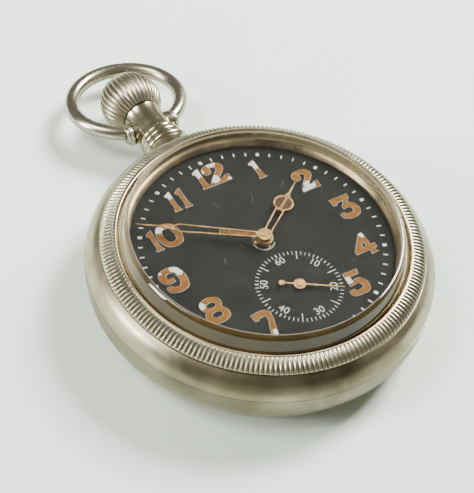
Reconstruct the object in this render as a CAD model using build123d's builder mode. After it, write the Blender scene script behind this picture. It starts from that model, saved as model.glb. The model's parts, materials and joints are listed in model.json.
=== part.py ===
from build123d import *
import os
from math import atan2, cos, degrees, pi, radians, sin, sqrt

os.makedirs("parts", exist_ok=True)

# Open face pocket watch lying on its back. +Z is up through the dial, +Y is 12 o'clock and the
# pendant. The origin is the middle of the worn flat on the back. Millimetres.

# ---- case ----
CASE_R = 26.0          # widest radius, on the back
WIDEST_Z = 6.3
SEAM_Z = 7.85          # joint between back and middle
SKIRT_R = 24.4         # middle's skirt inside the back
BORE_R = 21.3          # seat of the movement
NECK_R = 22.7          # thread neck under the bezel
BEZEL_Z = 11.0         # lower edge of the bezel
BEZEL_R = 23.85
LIP_Z = 12.38
GLASS_TOP = 14.5
GLASS_T = 1.6
REST_R = 9.0           # worn flat on the back

# ---- pendant, crown and bow ----
STEM_Z = 5.3           # height of the winding axis
CROWN_R = 5.15
CROWN_Y = 40.3
FLUTES = 34
BOW_Y = 33.3           # pivot of the bow
BOW_DROOP = 5.0        # degrees below level at rest
BOW_A, BOW_B, BOW_L = 9.3, 8.75, 8.55
WIRE_R = 1.2

# ---- movement levels ----
DIAL_Z = 9.8
PLATE_TOP, PLATE_LOW, PLATE_R = 9.35, 7.0, 21.2
BRIDGE_TOP, BRIDGE_LOW = 4.5, 3.6
PIVOT = 0.22
FIT = 0.03             # radial play of a pivot

# ---- train layout (x, y) ----
CENTRE = (0.0, 0.0)
FOURTH = (0.0, -9.35)
THIRD = (5.184, -5.626)
ESCAPE = (-5.263, -9.774)
BALANCE = (-11.0, -6.5)
BARREL = (8.0, 5.307)
CROWN_W = (0.0, 12.563)
MINUTE_W = (-1.3, 3.783)
SETTING_W = (0.0, 7.986)
_d = sqrt((BALANCE[0] - ESCAPE[0]) ** 2 + (BALANCE[1] - ESCAPE[1]) ** 2)
LINE = ((BALANCE[0] - ESCAPE[0]) / _d, (BALANCE[1] - ESCAPE[1]) / _d)
SIDE = (-LINE[1], LINE[0])
PALLET = (ESCAPE[0] + 3.0 * LINE[0], ESCAPE[1] + 3.0 * LINE[1])
LEVER_AT, LEVER_PIN = (3.6, 16.9), (0.0, 18.05)
YOKE_AT, CLUTCH_GROOVE = (-5.0, 13.6), 13.2
CLICK_AT = (16.6, 10.0)

# ---- hands, at about ten to two ----
MINUTE_AT = 304.2      # degrees clockwise from 12
HOUR_AT = 55.35
SECOND_AT = 122.9


def angle_to(a, b):
    return atan2(b[1] - a[1], b[0] - a[0])


def gear(n, module, phase, centre=(0, 0)):
    """Outline of a spur gear with short, narrow teeth; a tooth stands at the phase angle."""
    pitch, r = 2 * pi / n, n * module / 2
    root, tip, pts = r - 0.8 * module, r + 0.38 * module, []
    for k in range(n):
        a = phase + k * pitch
        for rad, t in ((root, -0.23), (tip, -0.1), (tip, 0.1), (root, 0.23)):
            pts.append((centre[0] + rad * cos(a + t * pitch), centre[1] + rad * sin(a + t * pitch)))
    return pts


def meshed(n_a, phase_a, n_b, towards):
    """Phase of gear b that puts its gap on gear a's tooth; towards is the direction a to b."""
    shift = ((phase_a - towards) / (2 * pi / n_a)) % 1.0
    return towards + pi - shift * 2 * pi / n_b + pi / n_b


def spiral(r0, r1, turns, per_turn=14, start=0.0):
    n = int(turns * per_turn)
    return [((r0 + (r1 - r0) * k / n) * cos(start + 2 * pi * k / per_turn),
             (r0 + (r1 - r0) * k / n) * sin(start + 2 * pi * k / per_turn)) for k in range(n + 1)]


def hand_plane(at, z, centre=(0, 0)):
    """Plane whose y axis runs out along a hand standing at the given clock angle."""
    return Plane(origin=(centre[0], centre[1], z), x_dir=(cos(radians(at)), -sin(radians(at)), 0),
                 z_dir=(0, 0, 1))


LOW = (Align.CENTER, Align.CENTER, Align.MIN)
ALONG_Y = Plane(origin=(0, 0, STEM_Z), x_dir=(1, 0, 0), z_dir=(0, 1, 0))

# =====================================================================  CASE
with BuildPart() as case_middle:
    with BuildSketch(Plane.XZ):
        with BuildLine():
            Polyline((BORE_R, 6.6), (BORE_R, 9.2), (21.75, 9.2), (21.75, 11.65), (NECK_R, 11.65),
                     (NECK_R, 10.92), (23.9, 10.92))
            Spline((23.9, 10.92), (24.75, 10.25), (25.45, 9.2), (25.92, SEAM_Z),
                   tangents=[(0.75, -0.45), (0.12, -1)])
            Polyline((25.92, SEAM_Z), (SKIRT_R, SEAM_Z), (SKIRT_R, 4.0), (24.0, 3.35), (23.4, 3.35),
                     (23.4, 6.6), (BORE_R, 6.6))
        make_face()
    revolve(axis=Axis.Z)
    with BuildSketch(ALONG_Y.offset(20)):
        Circle(1.66)
    extrude(amount=7, mode=Mode.SUBTRACT)
case_middle.part.label = "case_middle"
export_step(case_middle.part, "parts/case_middle.step")

with BuildPart() as case_back:
    with BuildSketch(Plane.XZ):
        with BuildLine():
            Line((25.95, 7.82), (CASE_R, WIDEST_Z))
            Spline((CASE_R, WIDEST_Z), (25.3, 3.2), (23.2, 1.35), (19.5, 0.55), (REST_R, 0),
                   tangents=[(0, -1), (-1, 0)])
            Polyline((REST_R, 0), (0, 0), (0, 0.9), (9.0, 0.95))
            Spline((9.0, 0.95), (19.3, 1.45), (22.4, 1.95), (23.9, 2.65), (24.48, 3.9),
                   tangents=[(1, 0.03), (0, 1)])
            Polyline((24.48, 3.9), (24.48, 7.82), (25.95, 7.82))
        make_face()
    revolve(axis=Axis.Z)
    # open notch for the pendant tube
    with BuildSketch(Plane.XZ.offset(-23)):
        with Locations((0, STEM_Z)):
            Circle(3.35)
        with Locations((0, STEM_Z)):
            Rectangle(6.7, 4, align=(Align.CENTER, Align.MIN))
    extrude(amount=-4, mode=Mode.SUBTRACT)
case_back.part.label = "case_back"
export_step(case_back.part, "parts/case_back.step")

with BuildPart() as front_bezel:
    with BuildSketch(Plane.XZ):
        with BuildLine():
            Polyline((21.32, 11.0), (21.32, 12.2))
            Spline((21.32, 12.2), (21.55, LIP_Z), (21.84, 12.36), tangents=[(0, 1), (1, -0.6)])
            Spline((21.84, 12.36), (22.7, 12.3), (23.4, 11.95), (BEZEL_R, BEZEL_Z + 0.3),
                   tangents=[(1, 0.25), (0, -1)])
            Polyline((BEZEL_R, BEZEL_Z + 0.3), (23.7, BEZEL_Z), (22.78, BEZEL_Z), (22.78, 11.72),
                     (21.68, 11.72), (21.68, 10.2), (19.44, 10.2), (19.44, 10.32), (20.1, 11.0),
                     (21.32, 11.0))
        make_face()
    revolve(axis=Axis.Z)
front_bezel.part.label = "front_bezel"
export_step(front_bezel.part, "parts/front_bezel.step")

with BuildPart() as crystal:
    with BuildSketch(Plane.XZ):
        with BuildLine():
            Polyline((0, GLASS_TOP - GLASS_T), (0, GLASS_TOP), (19.75, GLASS_TOP))
            Spline((19.75, GLASS_TOP), (20.2, 14.25), (20.45, 13.8), tangents=[(1, 0), (0.25, -1)])
            Polyline((20.45, 13.8), (21.27, 11.9), (21.27, 11.02), (20.25, 11.02), (20.2, 12.7),
                     (20.0, GLASS_TOP - GLASS_T), (0, GLASS_TOP - GLASS_T))
        make_face()
    revolve(axis=Axis.Z)
crystal.part.label = "crystal"
export_step(crystal.part, "parts/crystal.step")

# =====================================================================  PENDANT
with BuildPart() as pendant:
    with BuildSketch(Plane(origin=(0, 0, STEM_Z), x_dir=(1, 0, 0), z_dir=(0, 0, 1))):
        with BuildLine():
            Polyline((0, 23.5), (3.0, 23.5), (3.0, 26.2), (3.55, 26.2), (3.55, 27.25))
            ThreePointArc((3.55, 27.25), (3.95, 27.95), (3.45, 28.65))
            ThreePointArc((3.45, 28.65), (3.72, 29.25), (3.3, 29.85))
            ThreePointArc((3.3, 29.85), (3.5, 30.35), (3.15, 30.85))
            Spline((3.15, 30.85), (3.12, 32.5), (3.2, 35.6), (3.3, 36.1), tangents=[(-0.1, 1), (0.3, 1)])
            Polyline((3.3, 36.1), (3.1, 36.25), (0, 36.25), (0, 23.5))
        make_face()
    revolve(axis=Axis(origin=(0, 0, STEM_Z), direction=(0, 1, 0)))
    # side bosses for the bow
    with BuildSketch(Plane(origin=(-3.6, BOW_Y, STEM_Z), x_dir=(0, 1, 0), z_dir=(1, 0, 0))):
        Circle(1.85)
    extrude(amount=7.2)
    with BuildSketch(Plane(origin=(-3.7, BOW_Y, STEM_Z), x_dir=(0, 1, 0), z_dir=(1, 0, 0))):
        Circle(0.85)
    extrude(amount=1.5, mode=Mode.SUBTRACT)
    with BuildSketch(Plane(origin=(3.7, BOW_Y, STEM_Z), x_dir=(0, 1, 0), z_dir=(-1, 0, 0))):
        Circle(0.85)
    extrude(amount=1.5, mode=Mode.SUBTRACT)
    with BuildSketch(ALONG_Y.offset(23)):
        Circle(1.66)
    extrude(amount=14, mode=Mode.SUBTRACT)
    # foot follows the case
    with BuildSketch(Plane.XY.offset(0)):
        Circle(SKIRT_R + 0.01)
    extrude(amount=7.84, mode=Mode.SUBTRACT)
    with BuildSketch(Plane.XY.offset(7.83)):
        Circle(25.98)
    extrude(amount=3, mode=Mode.SUBTRACT)
pendant.part.label = "pendant"
export_step(pendant.part, "parts/pendant.step")

with BuildPart() as pendant_sleeve:
    with BuildSketch(ALONG_Y.offset(23.9)):
        Circle(1.64)
        Circle(0.86, mode=Mode.SUBTRACT)
    extrude(amount=12.2)
    with BuildSketch(ALONG_Y.offset(35.6)):
        Rectangle(4, 0.5)
    extrude(amount=1, mode=Mode.SUBTRACT)
pendant_sleeve.part.label = "pendant_sleeve"
export_step(pendant_sleeve.part, "parts/pendant_sleeve.step")

droop = radians(BOW_DROOP)
bow_plane = Plane(origin=(0, BOW_Y, STEM_Z), x_dir=(1, 0, 0), z_dir=(0, sin(droop), cos(droop)))
arc_pts = [(BOW_A * cos(radians(t)), BOW_L + BOW_B * sin(radians(t))) for t in range(-62, 243, 16)]
arc_pts = arc_pts[:-1] + [(-arc_pts[0][0], arc_pts[0][1])]
with BuildPart() as bow:
    with BuildLine(bow_plane) as wire:
        Spline(*arc_pts)
    with BuildSketch(Plane(origin=wire.line @ 0, z_dir=wire.line % 0)):
        Circle(WIRE_R)
    sweep()
    for s in (-1, 1):
        with BuildSketch(Plane(origin=(0, BOW_Y, STEM_Z), x_dir=(s, 0, 0), z_dir=(0, -s, 0))):
            with BuildLine():
                Polyline((2.55, 0), (2.55, 0.82), (3.68, 0.82), (3.68, 1.6))
                ThreePointArc((3.68, 1.6), (4.0, 1.85), (4.3, 1.55))
                ThreePointArc((4.3, 1.55), (4.62, 1.4), (4.75, 1.05))
                Polyline((4.75, 1.05), (4.75, 0), (2.55, 0))
            make_face()
        revolve(axis=Axis(origin=(0, BOW_Y, STEM_Z), direction=(1, 0, 0)))
bow.part.label = "bow"
export_step(bow.part, "parts/bow.step")

# crown: rounded ribs that run from the neck over the ball to the end cap
CROWN_SECTIONS = ((36.45, 3.35, 0.12), (37.5, 4.3, 0.2), (38.8, 4.95, 0.26), (CROWN_Y, CROWN_R, 0.28),
                  (41.8, 4.93, 0.26), (43.1, 4.3, 0.2), (44.2, 3.3, 0.1))
with BuildPart() as crown:
    for y, r, depth in CROWN_SECTIONS:
        with BuildSketch(Plane(origin=(0, y, STEM_Z), x_dir=(1, 0, 0), z_dir=(0, 1, 0))):
            with BuildLine():
                for k in range(FLUTES):
                    a0, a1, a2 = (2 * pi * (k + t) / FLUTES for t in (0, 0.5, 1))
                    ThreePointArc(((r - depth) * cos(a0), (r - depth) * sin(a0)), (r * cos(a1), r * sin(a1)),
                                  ((r - depth) * cos(a2), (r - depth) * sin(a2)))
            make_face()
    loft()
    with BuildSketch(ALONG_Y.offset(36)):
        Circle(0.82)
    extrude(amount=6.1, mode=Mode.SUBTRACT)
    # plain end cap
    with Locations(ALONG_Y.offset(44.0)):
        Cylinder(2.9, 0.5, align=LOW)
    with Locations(ALONG_Y.offset(44.5)):
        Cone(2.9, 1.9, 0.25, align=LOW)
crown.part.label = "crown"
export_step(crown.part, "parts/crown.step")

with BuildPart() as winding_stem:
    with BuildSketch(Plane(origin=(0, 0, STEM_Z), x_dir=(1, 0, 0), z_dir=(0, 0, 1))):
        with BuildLine():
            Polyline((0, 10.7), (0.42, 10.7), (0.42, 11.9), (0.5, 11.9), (0.5, 15.1), (0.62, 15.1),
                     (0.62, 17.3), (0.7, 17.3), (0.7, 17.75), (0.42, 17.75), (0.42, 18.35), (0.7, 18.35),
                     (0.7, 24.5), (0.8, 24.5), (0.8, 42.0), (0, 42.0), (0, 10.7))
        make_face()
    revolve(axis=Axis(origin=(0, 0, STEM_Z), direction=(0, 1, 0)))
winding_stem.part.label = "winding_stem"
export_step(winding_stem.part, "parts/winding_stem.step")

# =====================================================================  DIAL SIDE
SCREW_SPOTS = [(20.3 * cos(radians(a)), 20.3 * sin(radians(a))) for a in (2, 182)]
FEET = [(-14.5, 10.0), (13.5, -12.5)]
BRIDGE_SCREWS = [(19.6 * cos(radians(a)), 19.6 * sin(radians(a))) for a in (20, 62, 118, 154, -25, -66)]
PILLAR = [(-16.5, 2.0)]
with BuildPart() as main_plate:
    with Locations((0, 0, PLATE_LOW)):
        Cylinder(PLATE_R, PLATE_TOP - PLATE_LOW, align=LOW)
    with BuildSketch(Plane.XY.offset(PLATE_TOP)):
        Circle(3.75)
        with Locations(MINUTE_W):
            Circle(3.5)
        with Locations(SETTING_W):
            Circle(1.95)
        with Locations((0, 11.5)):
            SlotOverall(7, 3.2, rotation=90)
    extrude(amount=-1.35, mode=Mode.SUBTRACT)
    for spot, r in ((CENTRE, 0.78), (THIRD, PIVOT + FIT), (FOURTH, 0.36), (ESCAPE, PIVOT + FIT),
                    (PALLET, PIVOT + FIT), (BALANCE, PIVOT + FIT), (BARREL, 0.9), (LEVER_AT, 0.33),
                    (YOKE_AT, 0.33)):
        with Locations((spot[0], spot[1], PLATE_LOW - 1)):
            Cylinder(r, 5, align=LOW, mode=Mode.SUBTRACT)
    for x, y in FEET:
        with Locations((x, y, 7.6)):
            Cylinder(0.43, 3, align=LOW, mode=Mode.SUBTRACT)
    for x, y in BRIDGE_SCREWS + PILLAR:
        with Locations((x, y, PLATE_LOW)):
            Cylinder(0.47, 1.2, align=LOW, mode=Mode.SUBTRACT)
    for x, y in SCREW_SPOTS:
        with Locations((x, y, PLATE_LOW)):
            Cylinder(0.52, 1.6, align=LOW, mode=Mode.SUBTRACT)
    for x, y in FEET:
        a = atan2(y, x)
        with BuildSketch(Plane(origin=(21.5 * cos(a), 21.5 * sin(a), 8.2), z_dir=(-cos(a), -sin(a), 0))):
            Circle(0.42)
        extrude(amount=3.2, mode=Mode.SUBTRACT)
main_plate.part.label = "main_plate"
export_step(main_plate.part, "parts/main_plate.step")

with BuildPart() as dial:
    with Locations((0, 0, PLATE_TOP + 0.01)):
        Cylinder(20.9, DIAL_Z - PLATE_TOP - 0.01, align=LOW)
    with Locations((0, 0, 9)):
        Cylinder(1.42, 2, align=LOW, mode=Mode.SUBTRACT)
    with Locations((FOURTH[0], FOURTH[1], 9)):
        Cylinder(0.45, 2, align=LOW, mode=Mode.SUBTRACT)
    for x, y in FEET:
        with Locations((x, y, 7.9)):
            Cylinder(0.4, 1.6, align=LOW)
dial.part.label = "dial"
export_step(dial.part, "parts/dial.step")

with BuildPart() as dial_foot_screws:
    for x, y in FEET:
        a, r = atan2(y, x), sqrt(x * x + y * y)
        with BuildSketch(Plane(origin=(21.15 * cos(a), 21.15 * sin(a), 8.2), z_dir=(-cos(a), -sin(a), 0))):
            Circle(0.4)
        extrude(amount=min(21.15 - r - 0.42, 2.8))
dial_foot_screws.part.label = "dial_foot_screws"
export_step(dial_foot_screws.part, "parts/dial_foot_screws.step")

with BuildPart() as dial_washer:
    with BuildSketch(Plane.XY.offset(9.0)):
        Circle(2.4)
        Circle(1.08, mode=Mode.SUBTRACT)
    extrude(amount=0.15)
dial_washer.part.label = "dial_washer"
export_step(dial_washer.part, "parts/dial_washer.step")

# hour wheel with its pipe
ph_cannon = 0.0
ph_minute_w = meshed(10, ph_cannon, 30, angle_to(CENTRE, MINUTE_W))
ph_minute_p = 0.3
ph_hour_w = meshed(8, ph_minute_p, 32, angle_to(MINUTE_W, CENTRE))
ph_setting = meshed(30, ph_minute_w, 14, angle_to(MINUTE_W, SETTING_W))
with BuildPart() as hour_wheel:
    with BuildSketch(Plane.XY.offset(8.68)):
        with BuildLine():
            Polyline(*gear(32, 0.2, ph_hour_w), close=True)
        make_face()
    extrude(amount=0.28)
    with Locations((0, 0, 8.68)):
        Cylinder(1.02, 2.05, align=LOW)
    with Locations((0, 0, 8.0)):
        Cylinder(0.66, 4, align=LOW, mode=Mode.SUBTRACT)
hour_wheel.part.label = "hour_wheel"
export_step(hour_wheel.part, "parts/hour_wheel.step")

with BuildPart() as cannon_pinion:
    with BuildSketch(Plane.XY.offset(8.02)):
        with BuildLine():
            Polyline(*gear(10, 0.2, ph_cannon), close=True)
        make_face()
    extrude(amount=0.6)
    with Locations((0, 0, 8.02)):
        Cylinder(0.62, 3.3, align=LOW)
    with Locations((0, 0, 7.9)):
        Cylinder(0.34, 4, align=LOW, mode=Mode.SUBTRACT)
cannon_pinion.part.label = "cannon_pinion"
export_step(cannon_pinion.part, "parts/cannon_pinion.step")

with BuildPart() as minute_wheel:
    with BuildSketch(Plane.XY.offset(8.16)):
        with BuildLine():
            Polyline(*gear(30, 0.2, ph_minute_w, MINUTE_W), close=True)
        make_face()
        with Locations(MINUTE_W):
            with PolarLocations(1.75, 5):
                Circle(0.55, mode=Mode.SUBTRACT)
    extrude(amount=0.3)
    with BuildSketch(Plane.XY.offset(8.46)):
        with BuildLine():
            Polyline(*gear(8, 0.2, ph_minute_p, MINUTE_W), close=True)
        make_face()
    extrude(amount=0.55)
    with Locations((MINUTE_W[0], MINUTE_W[1], 8.02)):
        Cylinder(0.4, 1.2, align=LOW)
minute_wheel.part.label = "minute_wheel"
export_step(minute_wheel.part, "parts/minute_wheel.step")

with BuildPart() as setting_wheel:
    with BuildSketch(Plane.XY.offset(8.16)):
        with BuildLine():
            Polyline(*gear(14, 0.2, ph_setting, SETTING_W), close=True)
        make_face()
    extrude(amount=0.3)
    with Locations((SETTING_W[0], SETTING_W[1], 8.02)):
        Cylinder(0.45, 0.6, align=LOW)
setting_wheel.part.label = "setting_wheel"
export_step(setting_wheel.part, "parts/setting_wheel.step")

with BuildPart() as setting_cover:
    with BuildSketch(Plane.XY.offset(9.0)):
        with Locations((0, 11.0)):
            SlotOverall(6.6, 2.9, rotation=90)
    extrude(amount=0.25)
    with Locations((0, 12.9, 8.02)):
        Cylinder(1.0, 1.0, align=LOW)
setting_cover.part.label = "setting_cover"
export_step(setting_cover.part, "parts/setting_cover.step")

# ---- hands ----
with BuildPart() as hour_hand:
    with BuildSketch(hand_plane(HOUR_AT, 10.55)):
        Circle(1.35)
        for s in (-1, 1):
            with BuildLine():
                Polyline((s * 0.38, 0.9), (s * 0.6, 0.9), (s * 0.72, 6.3), (s * 0.5, 6.3), close=True)
            make_face()
        with Locations((0, 6.25)):
            Rectangle(1.44, 0.3)
        with Locations((0, 7.75)):
            Circle(1.55)
            Circle(1.28, mode=Mode.SUBTRACT)
        with Locations((0, 7.8)):
            Rectangle(0.34, 2.9)
        with BuildLine():
            Polyline((-0.62, 8.9), (-0.3, 9.75), (-0.14, 10.1), (-0.07, 12.6), (0.07, 12.6), (0.14, 10.1),
                     (0.3, 9.75), (0.62, 8.9), close=True)
        make_face()
        Circle(1.035, mode=Mode.SUBTRACT)
    extrude(amount=0.16)
    with BuildSketch(Plane.XY.offset(10.4)):
        Circle(1.35)
        Circle(1.035, mode=Mode.SUBTRACT)
    extrude(amount=0.42)
hour_hand.part.label = "hour_hand"
export_step(hour_hand.part, "parts/hour_hand.step")

with BuildPart() as minute_hand:
    with BuildSketch(hand_plane(MINUTE_AT, 11.12)):
        with BuildLine():
            Polyline((-0.52, 0), (-0.79, 12.45), (-0.42, 13.2), (-0.2, 14.6), (-0.06, 18.75), (0.06, 18.75),
                     (0.2, 14.6), (0.42, 13.2), (0.79, 12.45), (0.52, 0), close=True)
        make_face()
        with BuildLine():
            Polyline((-0.33, 1.3), (-0.45, 6.35), (0.45, 6.35), (0.33, 1.3), close=True)
        make_face(mode=Mode.SUBTRACT)
        with BuildLine():
            Polyline((-0.455, 6.58), (-0.58, 12.35), (-0.2, 13.05), (0.2, 13.05), (0.58, 12.35), (0.455, 6.58),
                     close=True)
        make_face(mode=Mode.SUBTRACT)
        Circle(1.12)
    extrude(amount=0.16)
    with Locations((0, 0, 11.33)):
        Cylinder(1.12, 0.12, align=LOW)
    with Locations((0, 0, 11.0)):
        Cylinder(1.12, 0.34, align=LOW)
    with Locations((0, 0, 10.9)):
        Cylinder(0.635, 0.435, align=LOW, mode=Mode.SUBTRACT)
    with Locations((0, 0, 11.45)):
        Cylinder(0.45, 0.12, align=LOW)
minute_hand.part.label = "minute_hand"
export_step(minute_hand.part, "parts/minute_hand.step")

with BuildPart() as seconds_hand:
    with BuildSketch(hand_plane(SECOND_AT, 10.15, FOURTH)):
        Circle(0.9)
        with BuildLine():
            Polyline((-0.13, 0), (-0.06, 6.4), (0.06, 6.4), (0.13, 0), (0.1, -2.4), (-0.1, -2.4), close=True)
        make_face()
        with Locations((0, -2.55)):
            Circle(0.45)
    extrude(amount=0.13)
    with Locations((FOURTH[0], FOURTH[1], 9.95)):
        Cylinder(0.5, 0.45, align=LOW)
    with Locations((FOURTH[0], FOURTH[1], 9.9)):
        Cylinder(0.27, 0.42, align=LOW, mode=Mode.SUBTRACT)
seconds_hand.part.label = "seconds_hand"
export_step(seconds_hand.part, "parts/seconds_hand.step")

# =====================================================================  BRIDGES
JEWEL_R = 0.75
with BuildPart() as barrel_bridge:
    with BuildSketch(Plane.XY.offset(BRIDGE_LOW)):
        Circle(20.4)
        with Locations((0, -20.4 + 1.4)):
            Rectangle(42, 40.8 - 20.4 + 20.4, mode=Mode.SUBTRACT)
        Circle(2.2)
        with Locations((-18.2, 0)):
            Circle(6.6, mode=Mode.SUBTRACT)
    extrude(amount=BRIDGE_TOP - BRIDGE_LOW)
    with BuildSketch(Plane.XY.offset(BRIDGE_TOP)):
        with BuildLine():
            l0 = CenterArc((0, 0), 20.4, 12, 146)
            l1 = CenterArc((0, 0), 18.8, 12, 146)
            Line(l0 @ 0, l1 @ 0)
            Line(l0 @ 1, l1 @ 1)
        make_face()
    extrude(amount=PLATE_LOW - BRIDGE_TOP - 0.01)
    with BuildSketch(ALONG_Y.offset(17.8)):
        Circle(0.76)
    extrude(amount=4, mode=Mode.SUBTRACT)
    # trough for the clutch and winding pinion, ring groove for the contrate teeth
    with BuildSketch(Plane.XY.offset(3.9)):
        with Locations((0, 14.1)):
            Rectangle(3.0, 7.4)
    extrude(amount=2, mode=Mode.SUBTRACT)
    with BuildSketch(Plane.XY.offset(3.0)):
        with Locations(CROWN_W):
            Circle(3.55)
            Circle(2.55, mode=Mode.SUBTRACT)
    extrude(amount=0.93, mode=Mode.SUBTRACT)
    with Locations((CROWN_W[0], CROWN_W[1], 3)):
        Cylinder(0.53, 2, align=LOW, mode=Mode.SUBTRACT)
    # room for the setting lever
    with BuildSketch(Plane.XY.offset(5.8)):
        with Locations((0.75, 18.8)):
            Rectangle(3.4, 1.6)
    extrude(amount=2, mode=Mode.SUBTRACT)
    for x, y in BRIDGE_SCREWS[:4]:
        with Locations((x, y, 3)):
            Cylinder(0.47, 5, align=LOW, mode=Mode.SUBTRACT)
    with Locations((CENTRE[0], CENTRE[1], 3)):
        Cylinder(JEWEL_R, 3, align=LOW, mode=Mode.SUBTRACT)
    with Locations((BARREL[0], BARREL[1], 3)):
        Cylinder(0.95, 3, align=LOW, mode=Mode.SUBTRACT)
barrel_bridge.part.label = "barrel_bridge"
export_step(barrel_bridge.part, "parts/barrel_bridge.step")

with BuildPart() as train_bridge:
    with BuildSketch(Plane.XY.offset(BRIDGE_LOW)):
        with BuildLine():
            a0 = CenterArc((0, 0), 20.4, -72, 62)
            Polyline(a0 @ 1, (6.0, -3.0), (3.4, -3.6), (-1.6, -7.4), (-6.4, -8.6), (-6.6, -11.0), (-1.0, -12.6),
                     (3.6, -14.0), a0 @ 0)
        make_face()
    extrude(amount=BRIDGE_TOP - BRIDGE_LOW)
    with BuildSketch(Plane.XY.offset(BRIDGE_TOP)):
        with BuildLine():
            l0 = CenterArc((0, 0), 20.4, -72, 60)
            l1 = CenterArc((0, 0), 18.8, -72, 60)
            Line(l0 @ 0, l1 @ 0)
            Line(l0 @ 1, l1 @ 1)
        make_face()
    extrude(amount=PLATE_LOW - BRIDGE_TOP - 0.01)
    for x, y in BRIDGE_SCREWS[4:]:
        with Locations((x, y, 3)):
            Cylinder(0.47, 5, align=LOW, mode=Mode.SUBTRACT)
    for spot in (THIRD, FOURTH, ESCAPE):
        with Locations((spot[0], spot[1], 3)):
            Cylinder(JEWEL_R, 3, align=LOW, mode=Mode.SUBTRACT)
train_bridge.part.label = "train_bridge"
export_step(train_bridge.part, "parts/train_bridge.step")

with BuildPart() as jewels:
    for spot in (CENTRE, THIRD, FOURTH, ESCAPE):
        with Locations((spot[0], spot[1], BRIDGE_LOW + 0.1)):
            Cylinder(JEWEL_R - 0.01, 0.75, align=LOW)
        with Locations((spot[0], spot[1], BRIDGE_LOW)):
            Cylinder(PIVOT + FIT, 1.5, align=LOW, mode=Mode.SUBTRACT)
jewels.part.label = "jewels"
export_step(jewels.part, "parts/jewels.step")

with BuildPart() as bridge_screws:
    for x, y in BRIDGE_SCREWS:
        with Locations((x, y, 3.2)):
            Cylinder(0.78, BRIDGE_LOW - 3.2 - 0.01, align=LOW)
        with Locations((x, y, 3.5)):
            Cylinder(0.45, 4.6, align=LOW)
        with Locations((x, y, 3.2)):
            Box(1.8, 0.16, 0.18, align=LOW, mode=Mode.SUBTRACT)
bridge_screws.part.label = "bridge_screws"
export_step(bridge_screws.part, "parts/bridge_screws.step")

with BuildPart() as case_screws:
    for x, y in SCREW_SPOTS:
        with Locations((x, y, 6.1)):
            Cylinder(1.3, 0.48, align=LOW)
        with Locations((x, y, 6.4)):
            Cylinder(0.5, 2.1, align=LOW)
        with Locations((x, y, 6.1)):
            Box(2.8, 0.22, 0.22, align=LOW, mode=Mode.SUBTRACT)
case_screws.part.label = "case_screws"
export_step(case_screws.part, "parts/case_screws.step")

# =====================================================================  BARREL
ph_centre_p = angle_to(CENTRE, BARREL)
ph_barrel = meshed(12, ph_centre_p, 84, angle_to(CENTRE, BARREL))
with BuildPart() as barrel_drum:
    with BuildSketch(Plane.XY.offset(4.75)):
        with BuildLine():
            Polyline(*gear(84, 0.2, ph_barrel, BARREL), close=True)
        make_face()
    extrude(amount=0.45)
    with Locations((BARREL[0], BARREL[1], 4.75)):
        Cylinder(8.0, 1.35, align=LOW)
    with Locations((BARREL[0], BARREL[1], 4.95)):
        Cylinder(7.6, 1.5, align=LOW, mode=Mode.SUBTRACT)
    with Locations((BARREL[0], BARREL[1], 4.0)):
        Cylinder(0.95, 1.5, align=LOW, mode=Mode.SUBTRACT)
barrel_drum.part.label = "barrel_drum"
export_step(barrel_drum.part, "parts/barrel_drum.step")

with BuildPart() as barrel_cover:
    with Locations((BARREL[0], BARREL[1], 5.98)):
        Cylinder(7.58, 0.12, align=LOW)
    with Locations((BARREL[0], BARREL[1], 5.5)):
        Cylinder(0.95, 1.0, align=LOW, mode=Mode.SUBTRACT)
barrel_cover.part.label = "barrel_cover"
export_step(barrel_cover.part, "parts/barrel_cover.step")

with BuildPart() as mainspring:
    with BuildSketch(Plane.XY.offset(5.02)):
        with BuildLine():
            inner = spiral(2.0, 7.2, 8)
            outer = spiral(2.2, 7.4, 8)
            s0 = Spline(*[(BARREL[0] + x, BARREL[1] + y) for x, y in inner])
            s1 = Spline(*[(BARREL[0] + x, BARREL[1] + y) for x, y in outer])
            Line(s0 @ 0, s1 @ 0)
            Line(s0 @ 1, s1 @ 1)
        make_face()
    extrude(amount=0.9)
mainspring.part.label = "mainspring"
export_step(mainspring.part, "parts/mainspring.step")

with BuildPart() as barrel_arbor:
    with Locations((BARREL[0], BARREL[1], 2.92)):
        Cylinder(0.6, 0.66, align=LOW)
    with Locations((BARREL[0], BARREL[1], 3.57)):
        Cylinder(0.9, 2.5, align=LOW)
    with Locations((BARREL[0], BARREL[1], 5.0)):
        Cylinder(1.7, 0.92, align=LOW)
    with Locations((BARREL[0], BARREL[1], 6.0)):
        Cylinder(0.85, 2.6, align=LOW)
    with Locations((BARREL[0], BARREL[1], 2.0)):
        Cylinder(0.3, 2.2, align=LOW, mode=Mode.SUBTRACT)
barrel_arbor.part.label = "barrel_arbor"
export_step(barrel_arbor.part, "parts/barrel_arbor.step")

# ratchet and crown wheels on the back of the bridge
ph_ratchet = 0.1
ph_crown_w = meshed(60, ph_ratchet, 30, angle_to(BARREL, CROWN_W))
with BuildPart() as ratchet_wheel:
    with BuildSketch(Plane.XY.offset(2.95)):
        with BuildLine():
            Polyline(*gear(60, 0.24, ph_ratchet, BARREL), close=True)
        make_face()
        with Locations(BARREL):
            Circle(0.63, mode=Mode.SUBTRACT)
    extrude(amount=0.55)
ratchet_wheel.part.label = "ratchet_wheel"
export_step(ratchet_wheel.part, "parts/ratchet_wheel.step")

with BuildPart() as ratchet_screw:
    with Locations((BARREL[0], BARREL[1], 2.55)):
        Cylinder(1.5, 0.36, align=LOW)
    with Locations((BARREL[0], BARREL[1], 2.8)):
        Cylinder(0.27, 1.3, align=LOW)
    with Locations((BARREL[0], BARREL[1], 2.55)):
        Box(3.2, 0.25, 0.18, align=LOW, mode=Mode.SUBTRACT)
ratchet_screw.part.label = "ratchet_screw"
export_step(ratchet_screw.part, "parts/ratchet_screw.step")

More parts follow.
